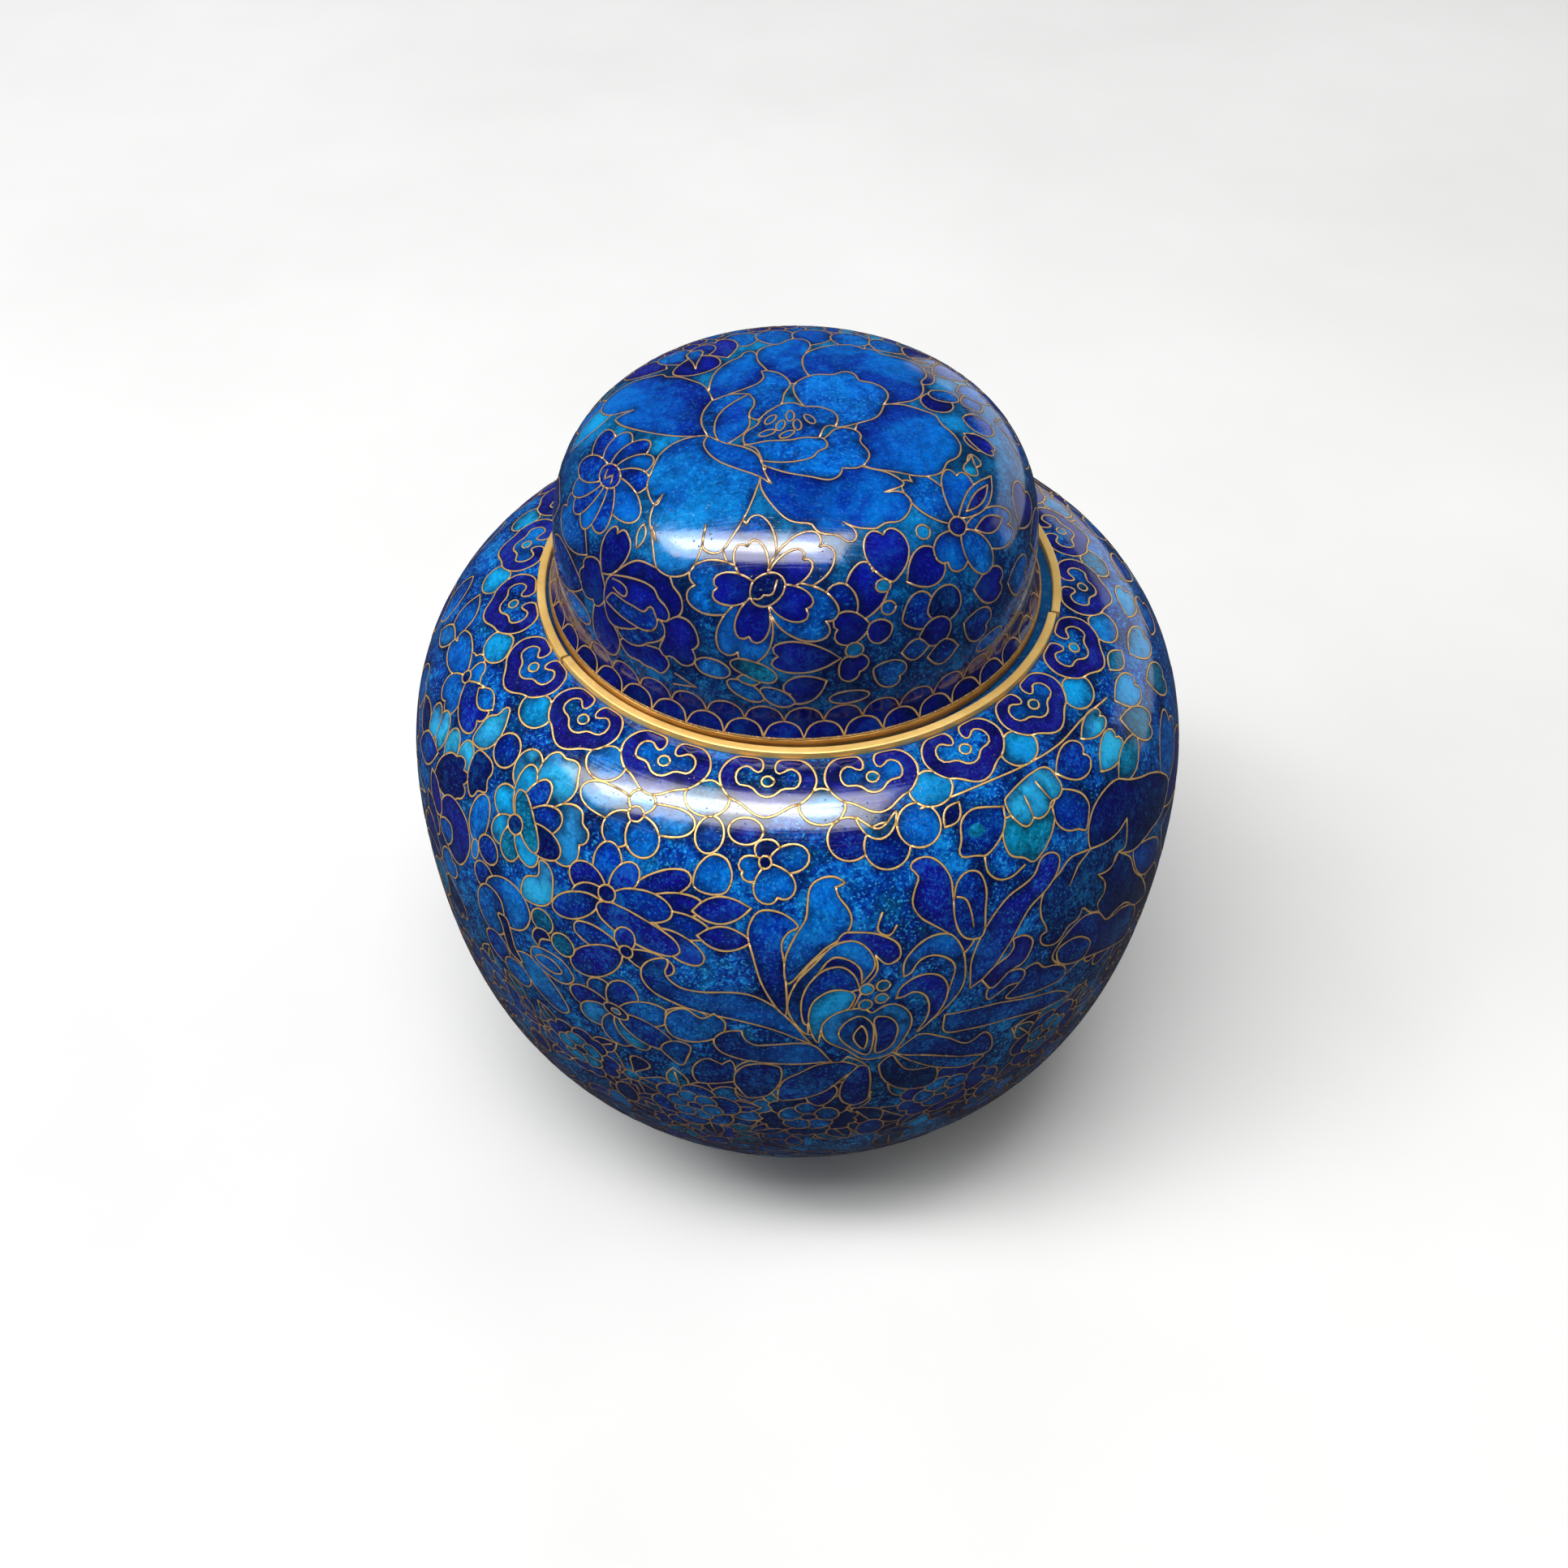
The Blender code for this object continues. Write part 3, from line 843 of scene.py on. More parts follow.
def body_picture():
    cv = Canvas(BODY)
    C, P, E, Ln = cv.cell, cv.pet, cv.ell, cv.line
    # hidden back and the low belly: the same flowers, more evenly spread
    scatter(cv, 22, 158, 17, 52, 17.5, 8.6, MIXES)
    scatter(cv, -180, 180, 62, 104, 17.0, 8.0, MIXES)
    # a plain row of lappets over the foot
    for k in range(26):
        a = 360.0 * k / 26
        cv.pet((a, 119.5), (a, 110.5), 8.6, "round", "cr"[k % 2])
        cv.pet((a, 119.5), (a, 113.5), 4.6, "round", "t")
    # open wires in the ground
    Ln([(-62.5, 18.5), (-62.7, 20.8), (-61.4, 22.5), (-59.7, 23.0), (-56.8, 22.2)])
    Ln([(-78.4, 22.6), (-79.2, 25.2), (-77.6, 26.2), (-76.6, 24.8)])

    # ---- lower belly in front ----
    for c, z, m, n, kind, rot in (
            ((-121.5, 61.5), 7.0, "ctn", 5, "heart", 10), ((-104, 66), 7.2, "rlc", 6, "round", 40),
            ((-88, 66), 7.6, "nac", 5, "scal", 20), ((-69, 64.5), 7.4, "vat", 5, "heart", 0),
            ((-52, 62), 7.2, "ctn", 6, "round", 15), ((-35, 60), 8.0, "anc", 5, "heart", 50),
            ((-17, 61), 7.6, "rte", 5, "scal", 10), ((0, 59), 7.8, "nlc", 5, "heart", 33),
            ((-139, 61), 7.4, "ran", 5, "heart", 60), ((-157, 59), 7.6, "tnc", 6, "round", 0),
            ((-175, 60), 7.8, "crn", 5, "scal", 25), ((17, 56), 7.6, "atc", 5, "heart", 15)):
        for q in range(4):
            a = rot + 90 * q + 25
            leaf(cv, cv.polar(c, a, z * .6), cv.polar(c, a + 10, z * 1.5), z * .5, "nrec"[q])
        blossom(cv, c, z, m[0], m[1], m[2], n, kind, rot)
    for a, s, w, h, col in ((-114.8, 69, 2.0, 3.2, "n"), (-96, 58.5, 2.2, 2.0, "a"),
                            (-79, 72, 2.2, 3.0, "c"), (-61, 70.5, 2.0, 2.8, "r"),
                            (-44, 69, 2.4, 3.0, "n"), (-26, 68, 2.2, 2.8, "t"),
                            (-131, 69, 2.2, 2.8, "c"), (-148, 67.5, 2.4, 3, "a")):
        E((a, s), w, h, col)

    # ---- left side ----
    for b, t, w, kind, col in (
            ((-178.5, 10), (-170.5, 15.5), 5.5, "leaf", "a"), ((-177.5, 19.5), (-170.5, 15), 4, "leaf", "l"),
            ((-186, 13), (-180, 20), 6, "round", "a"), ((-190, 20), (-181, 24), 6, "heart", "r"),
            ((-176, 33), (-184, 26), 6, "heart", "t"), ((-176, 33), (-170, 24), 7, "heart", "a"),
            ((-176, 33), (-166, 33), 7, "heart", "c"), ((-176, 33), (-171, 42), 7, "heart", "r"),
            ((-176, 33), (-183, 41), 6, "heart", "c"), ((-176, 33), (-187, 33), 6, "heart", "a"),
            ((-192, 44), (-182, 50), 7, "leaf", "n"), ((-176, 46), (-166, 52), 7, "leaf", "e"),
            ((-188, 40), (-196, 47), 6, "heart", "r"), ((-200, 22), (-192, 29), 6, "leaf", "c"),
            ((-198, 36), (-190, 34), 6, "round", "t"), ((-203, 14), (-195, 20), 6, "round", "a"),
            ((-166, 45), (-158, 40), 6, "leaf", "c"), ((-163, 52), (-153, 47), 7, "heart", "a"),
            ((-160, 27), (-168, 25), 5, "leaf", "n"), ((-158, 36), (-166, 39), 5, "drop", "t")):
        P(b, t, w, kind, col)
    E((-176, 33), 1.4, 1.3, "n")
    # azure flower at the shoulder, left
    for t, w, kind, col in (((-163, 10.8), 5, "heart", "a"), ((-157.3, 11.3), 5, "heart", "a"),
                            ((-171, 14.5), 5.6, "heart", "a"), ((-160.5, 20), 7, "heart", "a")):
        P((-160.2, 13.8), t, w, kind, col)
    P((-159.4, 14), (-149.8, 15.4), 6.6, "heart", "c")
    E((-160.2, 13.8), 1.1, 1.0, "n")
    P((-155.8, 12.5), (-149.6, 12.2), 3.4, "leaf", "a")
    for c in ((-148.3, 20), (-152.5, 21), (-157, 21.3), (-160.2, 22.5)):
        P((c[0] + 1, c[1] + 4.2), (c[0] - 1, c[1] - 2), 4.2, "round", "T")
    P((-154.8, 29), (-146, 22.3), 7.2, "scal", "n")
    P((-164, 31), (-155.5, 25.5), 5.2, "leaf", "r")
    C([(-151, 31), (-149, 28), (-146, 27.3), (-143, 28.3), (-141.5, 31), (-142, 34.5), (-144.5, 37.8),
       (-147.5, 37.2), (-150, 35)], "v")
    C([(-150.8, 34.5), (-149, 32.5), (-146.8, 32.3), (-146.3, 34.5), (-148, 37)], "a")
    P((-156, 29), (-150.5, 33.5), 4, "round", "v")
    P((-156.5, 33.5), (-151, 38), 4.4, "round", "r")
    P((-150, 44), (-157, 38.5), 6.2, "heart", "c")
    P((-150, 44), (-146, 38.5), 5.0, "heart", "a")
    P((-150, 44), (-158, 46.5), 6.2, "heart", "r")
    P((-150, 44), (-145, 51), 6.6, "heart", "n")
    P((-150, 44), (-154, 52), 6.2, "heart", "t")
    E((-150, 44), 1.5, 1.3, "l")
    # bud with a nub
    C([(-147.8, 10.2), (-147, 9.8), (-146.2, 10.6), (-145, 12), (-144.3, 14), (-144.8, 16),
       (-146.5, 17.4), (-149, 17.7), (-149.4, 15), (-149.2, 13), (-147.9, 12)], "T")
    E((-141.6, 14.3), 2.6, 2.6, "r")
    C([(-146.4, 17.5), (-144.5, 17.2), (-142.6, 17.3), (-141.6, 18.3), (-142, 19.8, 1), (-141, 21.3),
       (-143, 22.3, 1), (-143.2, 23.6), (-144, 24.2), (-145.2, 23.3), (-146.2, 22)], "n")

    # ---- big turquoise flower ----
    C([(-138.7, 13), (-137.5, 11.5), (-135.8, 11.2), (-134.3, 12), (-133.6, 13.5), (-134, 17),
       (-137, 17), (-138.6, 15)], "T")
    C([(-133.8, 10.2), (-132.6, 9.3), (-131, 9.8, 1), (-129.2, 9.2), (-127.8, 9.5), (-127.2, 10.9, 1),
       (-126.3, 12.2), (-126.3, 13.8, 1), (-127.4, 15.4), (-129, 17), (-133, 17), (-133.9, 14)], "T")
    C([(-128.3, 16.2), (-126.8, 15), (-125, 14.5), (-123.4, 15), (-123, 16.4, 1), (-121.3, 17.1),
       (-121.2, 18.6), (-122.2, 19.3, 1), (-121.8, 20.7), (-122.1, 22), (-123, 23), (-125, 23.2),
       (-128, 21)], "T")
    C([(-127.7, 24.2), (-126.3, 24.2), (-125, 25.5), (-124.6, 27.5, 1), (-124.5, 29.5), (-125.8, 31.2),
       (-127.5, 31.9), (-129.5, 31.9), (-130, 31, 1), (-129.8, 29), (-129.3, 28), (-127.3, 26.8)], "T")
    for t, w, col in (((-139.2, 19), 4.6, "t"), ((-137.2, 26), 4.4, "t"), ((-133.5, 28), 4.0, "e"),
                      ((-135.6, 13), 3.6, "t"), ((-131, 13.5), 3.8, "r"), ((-128.3, 26), 4.0, "t"),
                      ((-126.3, 17), 4.2, "r"), ((-124.6, 22), 4.2, "n")):
        P((-133.2, 21.5), t, w, "round", col)
    P((-135.4, 17.2), (-128.6, 23.8), 3.2, "oval", "e")
    E((-133.6, 22), 1.5, 1.5, "n")
    E((-140.7, 25.7), 2.3, 4, "a")
    E((-137.4, 29), 2.4, 2.3, "r")
    E((-137.6, 34.2), 2.5, 2.5, "r")
    E((-140.2, 31), .95, 1.8, "l")

    # ---- blossom in the light, and its neighbour ----
    for t, w, kind, col in (((-125.8, 11.8), 4.4, "oval", "t"), ((-105.6, 11.4), 4.2, "oval", "l"),
                            ((-118.6, 17), 4.8, "round", "a"), ((-111.4, 17.2), 4.8, "round", "a"),
                            ((-115, 8.6), 4, "round", "t")):
        P((-115.3, 12.1), t, w, kind, col)
    E((-115.3, 12.1), 1.2, 1.1, "c")
    E((-103.2, 12.2), 2.0, 2.6, "a")
    E((-97.8, 11), 2.4, 1.9, "c")
    C([(-104.2, 19.5), (-104, 16.5), (-102, 14.6), (-100, 15, 1), (-99, 17), (-99.6, 19.6)], "a")
    for t, w, kind, col in (((-94.4, 11.8), 3.4, "round", "r"), ((-98, 16.6), 3.6, "heart", "a"),
                            ((-88, 13.8), 3.8, "round", "a"), ((-92.3, 20.2), 5.6, "heart", "a")):
        P((-94.2, 15), t, w, kind, col)
    E((-94.5, 15), .9, .9, "n")

    # ---- cobalt chrysanthemum ----
    for b, t, w, kind, col in (
            ((-113, 22.5), (-104.6, 18.2), 3.6, "round", "c"), ((-112, 24), (-102.4, 22), 3.6, "round", "c"),
            ((-104, 23), (-96, 21.4), 4.0, "point", "c"), ((-110, 25), (-101.2, 26), 3.6, "round", "r"),
            ((-103, 26.5), (-95.6, 26.3), 3.8, "point", "c"), ((-109, 27), (-101.8, 30.8), 3.8, "round", "c"),
            ((-116.3, 24.2), (-117.8, 16.9), 4.4, "round", "r"),
            ((-115.8, 24.2), (-112.8, 18.6), 3.6, "round", "c"),
            ((-116.3, 24.2), (-122.6, 22.6), 4.4, "round", "c"),
            ((-116.3, 24.2), (-121.4, 27.2), 4.0, "round", "r"),
            ((-117, 25.5), (-124.2, 30.5), 4.0, "round", "r"),
            ((-116, 24.2), (-106.6, 24), 4.4, "round", "r"),
            ((-117.6, 26.4), (-105, 29.8), 4.4, "oval", "c")):
        P(b, t, w, kind, col)
    E((-116.3, 24.2), 1.4, 1.3, "n")
    for t, w, col in (((-120.7, 31.4), 3.6, "r"), ((-120.6, 39.6), 5.2, "c"), ((-105.6, 33.2), 3.6, "c"),
                      ((-112.8, 28.2), 3.2, "c")):
        P((-112.9, 32.5), t, w, "round", col)
    E((-112.5, 32.3), 1.1, 1.1, "n")

    # ---- blossom under it ----
    for t, w, kind, col in (((-117.3, 39.8), 5, "round", "a"), ((-112.3, 38.2), 5, "round", "r"),
                            ((-106.4, 42.2), 5, "round", "a"), ((-121.4, 45), 5, "round", "c"),
                            ((-119.6, 49.8), 5, "round", "l"), ((-114.2, 54), 5.4, "round", "a"),
                            ((-110.3, 53), 4.6, "round", "t"), ((-106.2, 50.4), 5.2, "round", "r")):
        P((-114.2, 45.8), t, w, kind, col)
    C([(-106.8, 41.5), (-104.5, 40), (-101.5, 40.6), (-100, 43), (-101.2, 46), (-104, 47), (-106.2, 45)], "a")
    E((-114.2, 45.5), 2.1, 1.4, "n", 20)
    E((-114.2, 45.5), 0.8, 0.6, "t", 20)

    # ---- azure bell flower ----
    C([(-137, 34.5), (-135, 32), (-132, 31), (-129.5, 31.8), (-128, 34), (-129, 38), (-132, 40),
       (-136, 38.5)], "a")
    C([(-139, 38.5), (-137, 35.2), (-134, 35.6), (-133, 39), (-134, 43.5), (-137, 44.5), (-138.8, 42)], "a")
    C([(-137.8, 46), (-135.6, 44), (-133.3, 45), (-132.8, 48.5), (-134.5, 50.5), (-137, 49.5)], "r")
    E((-131.5, 50), 2.9, 2.8, "a")
    C([(-131, 44.5), (-128.5, 43.2), (-125.5, 45), (-123, 48.5), (-122.2, 51.6), (-123.6, 53),
       (-126.6, 51.8), (-129.4, 48.6)], "l")
    C([(-128, 43), (-127.6, 40.5), (-125, 39.4), (-121.8, 40), (-120.5, 42.2), (-122, 44.6), (-125, 44.8)], "l")
    C([(-127.2, 42.4), (-126, 41), (-123.6, 41), (-122.4, 42.4), (-124, 43.6)], "a")
    E((-125.8, 34), 2.1, 2.1, "e")
    E((-122.2, 36.3), 2.1, 2.1, "e")
    C([(-134.5, 39), (-132.6, 38.6), (-131.8, 41), (-131.2, 44), (-130, 46.4), (-132, 46.4),
       (-133.2, 43.6), (-133.6, 41)], "n")
    C([(-127.5, 38.6), (-126.8, 36), (-125, 35.5), (-124.3, 36.8), (-125.4, 37.2, 1), (-126.2, 38),
       (-126.4, 39.5)], "n")

    # ---- right shoulder ----
    for c, r, col in (((-82, 12), 3.0, "c"), ((-76.5, 13.6), 3.2, "r"), ((-71, 11.7), 3.1, "a")):
        E(c, r, r, col)
    C([(-80.6, 9.2), (-77.3, 11.2), (-74, 9.2), (-75.4, 11.8), (-77.3, 12.6), (-79.2, 11.8)], "t")
    P((-67.2, 13), (-63.6, 10.3), 2.4, "leaf", "n")
    # scalloped leaves and the hand-shaped turquoise leaf over them
    C([(-58.0, 14.9, 1), (-59.0, 17.8), (-58.7, 19.9), (-56.5, 21.2, 1), (-55.4, 22.5), (-54.1, 22.1),
       (-53.2, 21.7, 1), (-50.9, 19.9), (-49.2, 17.3), (-53.8, 15.1)], "e")
    C([(-57.0, 13.3, 1), (-59.5, 12.4), (-62.2, 11.9), (-64.3, 12.8), (-65.0, 14.1), (-65.3, 15.6),
       (-66.1, 16.5), (-66.0, 17.7, 1), (-63.9, 18.0), (-62.3, 18.6, 1), (-60.2, 17.7), (-57.7, 15.3)], "r")
    E((-62.6, 14.8), 1.3, 1.0, "e", wire=False)
    C([(-49.3, 16.8, 1), (-49.7, 19.2), (-48.2, 21.3), (-46.2, 22.0, 1), (-45.2, 23.1), (-44.0, 21.6),
       (-42.9, 20.0), (-43.3, 18.0), (-44.8, 16.5), (-46.6, 15.5)], "r")
    C([(-56.4, 12.5, 1), (-53.1, 11.6), (-49.2, 11.2), (-47.0, 11.5), (-46.3, 12.2), (-46.0, 14.0),
       (-46.0, 15.2), (-47.7, 16.3), (-49.0, 15.9, 1), (-49.9, 16.9), (-52.1, 17.3), (-53.0, 16.7, 1),
       (-53.6, 17.2), (-54.7, 17.4), (-55.7, 16.3), (-56.5, 14.3)], "T")
    Ln([(-52.9, 13.4), (-52.9, 15.0), (-53.0, 16.7)])
    Ln([(-49.9, 12.5), (-49.5, 14.1), (-49.0, 15.7)])
    P((-45.8, 13.2), (-38.4, 13.8), 5.4, "heart", "r")
    for b, t, w, kind, col in (
            ((-37.6, 12), (-30.4, 12), 3.4, "heart", "T"), ((-38, 17.6), (-30.6, 15.8), 4.4, "heart", "T"),
            ((-36, 21.6), (-26.5, 18.6), 4.6, "leaf", "e"), ((-26, 12.8), (-18.6, 15.2), 5, "heart", "t"),
            ((-28, 15), (-22, 21), 5, "heart", "e"), ((-21, 10), (-14.8, 11), 3.2, "leaf", "e"),
            ((-14, 12.6), (-6, 16), 5, "heart", "t"), ((-16, 17), (-10, 22), 5.2, "heart", "e"),
            ((-5, 12), (3, 12.4), 4.4, "heart", "t"), ((-4, 18), (4, 17.2), 5, "heart", "a"),
            ((6, 13), (14, 16), 5, "heart", "r"), ((10, 19), (17, 22), 6, "leaf", "t"),
            ((18, 12.6), (25, 16), 5, "heart", "a"), ((20, 20), (28, 25), 7, "leaf", "n")):
        P(b, t, w, kind, col)
    Ln([(-70, 9.6), (-64, 9.3), (-57, 9.3), (-50, 9.8), (-42, 10.3), (-34, 10.2), (-27, 11.4)])

    # ---- navy peony on the right ----
    for b, t, w, kind, col in (
            ((-34, 40), (-45, 50), 10, "heart", "c"), ((-30, 42), (-30, 55), 10, "heart", "n"),
            ((-26, 38), (-14, 49), 10, "heart", "r"), ((-26, 34), (-11, 34), 9, "heart", "c"),
            ((-40, 40), (-53, 45), 8, "scal", "r"), ((-26, 32), (-15, 25), 8, "heart", "a"),
            ((-10, 38), (2, 32), 9, "scal", "c"), ((-9, 42), (4, 44), 9, "heart", "r"),
            ((2, 30), (14, 27), 9, "heart", "c"), ((4, 37), (18, 38), 9, "scal", "a"),
            ((6, 46), (19, 50), 9, "heart", "n")):
        P(b, t, w, kind, col)
    C([(-36.0, 33.5), (-31.8, 35.2), (-27.1, 40.4), (-27.3, 43.9), (-30.7, 43.3), (-35.2, 38.2)], "r")
    C([(-45.3, 26.0), (-44.8, 23.3), (-43.1, 21.4), (-39.2, 20.1), (-35.3, 20.7), (-33.8, 22.0, 1),
       (-30.7, 24.0), (-28.0, 25.4, 1), (-24.8, 28.0), (-22.1, 32.5), (-25.4, 35.1), (-30.7, 34.4),
       (-35.9, 33.5), (-39.4, 31.1), (-42.1, 28.0)], "n", axis=((-36, 33), (-36, 20)))
    C([(-39.7, 30.7, 1), (-36.8, 34.4), (-36.0, 37.4), (-32.5, 42.9), (-29.6, 50.1), (-34.2, 47.6, 1),
       (-38.4, 42.7), (-40.2, 42.2), (-42.6, 42.1), (-44.7, 38.4, 1), (-44.9, 36.5), (-43.6, 35.7),
       (-43.3, 33.8), (-44.6, 31.2, 1), (-43.4, 31.8), (-41.2, 31.8)], "n")
    C([(-48.2, 36.9), (-44.7, 38.7), (-42.6, 42.1), (-38.3, 43.6), (-33.0, 50.5), (-34.2, 54.7),
       (-39.5, 51.8), (-45.3, 48.0), (-51.3, 44.4), (-53.6, 40.6), (-52.3, 38.8), (-50.3, 37.5)], "c")
    C([(-52.7, 40.2), (-50.2, 39.8), (-47.4, 41.7), (-45.8, 44.9), (-46.7, 46.6), (-50.2, 45.4),
       (-52.5, 42.7)], "r")
    C([(-51.4, 26.2), (-49.6, 25.2), (-45.9, 25.9), (-41.9, 27.2), (-38.9, 27.5), (-36.5, 27.0, 1),
       (-37.2, 29.3), (-38.1, 31.2), (-39.7, 30.7, 1), (-40.8, 31.1), (-41.2, 31.8), (-43.4, 31.8),
       (-44.6, 31.2, 1), (-43.3, 33.8), (-43.6, 35.7), (-44.9, 36.5), (-44.7, 38.4, 1), (-46.5, 37.2),
       (-48.2, 35.0), (-48.8, 36.5, 1), (-50.8, 36.5), (-52.8, 38.4), (-54.7, 37.8), (-55.9, 36.2),
       (-55.8, 34.9), (-54.8, 34.8), (-54.8, 34.0, 1), (-55.6, 31.7), (-55.6, 29.8), (-54.6, 27.5)],
      "R", axis=((-46, 36), (-50, 25)))
    Ln([(-50.2, 29.3), (-47.9, 27.0), (-45.4, 26.2)])

    # ---- the great lily: long leaves first ----
    C([(-87.9, 45.3, 1), (-91.0, 39.5), (-93.1, 36.9), (-95.7, 35.4), (-98.3, 35.3), (-102.0, 36.1),
       (-104.8, 36.1), (-106.4, 35.1), (-107.1, 33.5), (-106.5, 32.2), (-106.8, 31.5), (-108.7, 32.1),
       (-110.1, 33.8), (-110.3, 35.9), (-109.2, 37.8), (-105.9, 39.4), (-102.1, 40.2), (-98.3, 40.6),
       (-93.1, 42.0)], ("c", "a"), axis=((-109, 35), (-91, 42)))
    C([(-107.1, 44.8), (-106.5, 41.8), (-104.2, 40.1), (-102.1, 41.6), (-100.5, 40.1, 1), (-99.1, 41.2),
       (-99.5, 44.5), (-101.7, 46.6), (-104.4, 47.6), (-106.4, 46.9)], "a")
    C([(-98.1, 56.1, 1), (-100.9, 57.6), (-103.2, 58.0), (-103.8, 55.9), (-103.3, 53.1), (-101.5, 50.9),
       (-99.6, 51.8, 1), (-98.5, 50.4), (-97.8, 53.8)], "r")
    C([(-98.1, 56.7, 1), (-97.9, 53.8), (-96.4, 51.3), (-93.7, 50.5), (-92.0, 51.0), (-91.7, 53.4),
       (-92.4, 56.8), (-93.8, 59.4), (-96.0, 60.4)], "c")
    C([(-105.9, 48.2), (-103.9, 48.4), (-104.3, 51.7), (-105.3, 54.3), (-106.9, 52.9), (-108.0, 51.3)], "r")
    C([(-85.2, 49.8, 1), (-87.9, 45.4), (-93.1, 45.7), (-95.2, 46.0), (-96.5, 44.8), (-96.9, 43.0, 1),
       (-98.1, 43.2), (-100.0, 44.6), (-100.6, 46.2), (-99.8, 48.5), (-98.0, 49.5), (-94.2, 50.2),
       (-90.0, 50.3)], ("c", "a"), axis=((-100, 46), (-87, 49)))
    C([(-88.3, 60.4), (-87.8, 57.3), (-85.6, 55.8), (-84.4, 56.9), (-84.7, 60.1), (-86.6, 62.4)], "c")
    # low petals, radiating from the base of the flower
    C([(-83.6, 50.1, 1), (-86.8, 50.4), (-89.4, 52.7), (-91.3, 54.5), (-92.2, 58.0), (-92.0, 60.5),
       (-89.9, 60.3), (-86.1, 58.1), (-83.5, 54.4), (-81.7, 51.5)], ("a", "c"), axis=((-83, 51), (-91, 60)))
    C([(-81.5, 51.5, 1), (-83.2, 54.5), (-83.9, 58.4), (-83.3, 61.7), (-81.8, 62.9), (-80.3, 62.1),
       (-79.8, 58.3), (-79.9, 54.7), (-80.6, 51.8)], "c")
    C([(-70.2, 43.3, 1), (-66.4, 44.1), (-62.3, 45.1), (-56.7, 47.9), (-50.8, 51.4), (-48.7, 54.3),
       (-53.0, 53.6), (-59.6, 50.7), (-66.1, 48.8), (-70.1, 47.2)], ("a", "c"), axis=((-70, 45), (-50, 53)))
    C([(-78.9, 51.9, 1), (-78.4, 55.2), (-76.6, 58.8), (-73.6, 61.1), (-70.9, 61.2), (-70.2, 58.0),
       (-71.1, 55.7), (-71.9, 55.8, 1), (-74.6, 55.0), (-76.5, 51.5), (-77.1, 50.0)], "n")
    C([(-77.1, 49.4, 1), (-73.5, 53.6), (-69.1, 57.4), (-65.3, 59.1), (-63.1, 58.2), (-65.6, 56.3),
       (-71.3, 52.8)], "a")
    C([(-75.0, 47.4, 1), (-74.0, 46.4), (-69.8, 48.8), (-65.7, 52.4), (-63.9, 51.1), (-62.4, 53.7),
       (-62.4, 57.4), (-65.6, 56.3), (-71.3, 52.6), (-76.6, 49.1)], ("a", "c"), axis=((-76, 48), (-63, 55)))
    # right fan
    C([(-66.8, 39.1, 1), (-65.1, 38.3), (-61.0, 33.6), (-57.2, 28.9), (-53.6, 27.2), (-51.4, 25.2),
       (-51.0, 23.7), (-52.4, 22.4), (-54.0, 22.5), (-55.3, 24.0), (-60.7, 25.8), (-63.8, 28.4),
       (-66.5, 33.4)], ("a", "c"), axis=((-66, 36), (-58, 28)))
    C([(-58.3, 40.2), (-56.5, 40.0), (-54.9, 42.3), (-53.5, 42.9), (-50.6, 46.3), (-50.8, 48.0),
       (-53.4, 47.7), (-56.8, 46.8), (-61.1, 44.3), (-59.4, 43.0)], "r")
    C([(-64.3, 41.9), (-63.8, 40.2), (-60.9, 39.0), (-58.7, 39.9), (-58.2, 41.4), (-59.0, 42.6, 1),
       (-60.8, 42.0), (-62.4, 42.8), (-63.8, 43.4)], "r")
    C([(-65.1, 38.3, 1), (-62.7, 36.3), (-61.0, 35.7), (-60.1, 34.1), (-60.3, 33.0), (-59.0, 33.0),
       (-57.1, 35.2), (-57.5, 36.7), (-58.6, 38.5), (-60.9, 39.0), (-63.4, 41.0)], "v")
    C([(-73.8, 16.8), (-72.5, 16.1), (-70.5, 16.3), (-69, 17.8), (-68.2, 20), (-68.4, 23), (-67.8, 26),
       (-66, 30.2), (-67.8, 32), (-68.7, 29), (-71, 26.5), (-73.5, 24), (-74.2, 22), (-73.5, 20, 1),
       (-72.6, 18.5, 1)], "c", axis=((-67, 31), (-71, 16)))
    C([(-68.2, 22.6), (-67.2, 20.5), (-65.5, 19.7), (-64, 20.3), (-63.4, 22.5), (-64, 26), (-65.3, 30.3),
       (-66.6, 30)], "r")
    Ln([(-67.8, 22.8), (-66.7, 23.3), (-66.2, 25), (-66, 28)])
    # left fan
    C([(-95, 21.7), (-93, 21.5), (-90.7, 22.5), (-89.6, 23.8), (-91, 24.5, 1), (-91.8, 26), (-91.5, 29),
       (-91.2, 33), (-91.3, 39), (-94, 34), (-95.4, 29), (-96.2, 24)], "r", axis=((-91, 38), (-94, 22)))
    C([(-88.4, 20), (-88, 18), (-86.5, 17), (-84.2, 17), (-83.2, 17.8), (-84.5, 18.3, 1), (-84.3, 19.5),
       (-83.2, 21), (-82.5, 23), (-83.3, 25), (-86, 27), (-88.3, 29.5), (-91, 33), (-91.4, 29),
       (-90, 25), (-88.6, 22.4)], "a", axis=((-90, 32), (-86, 17)))
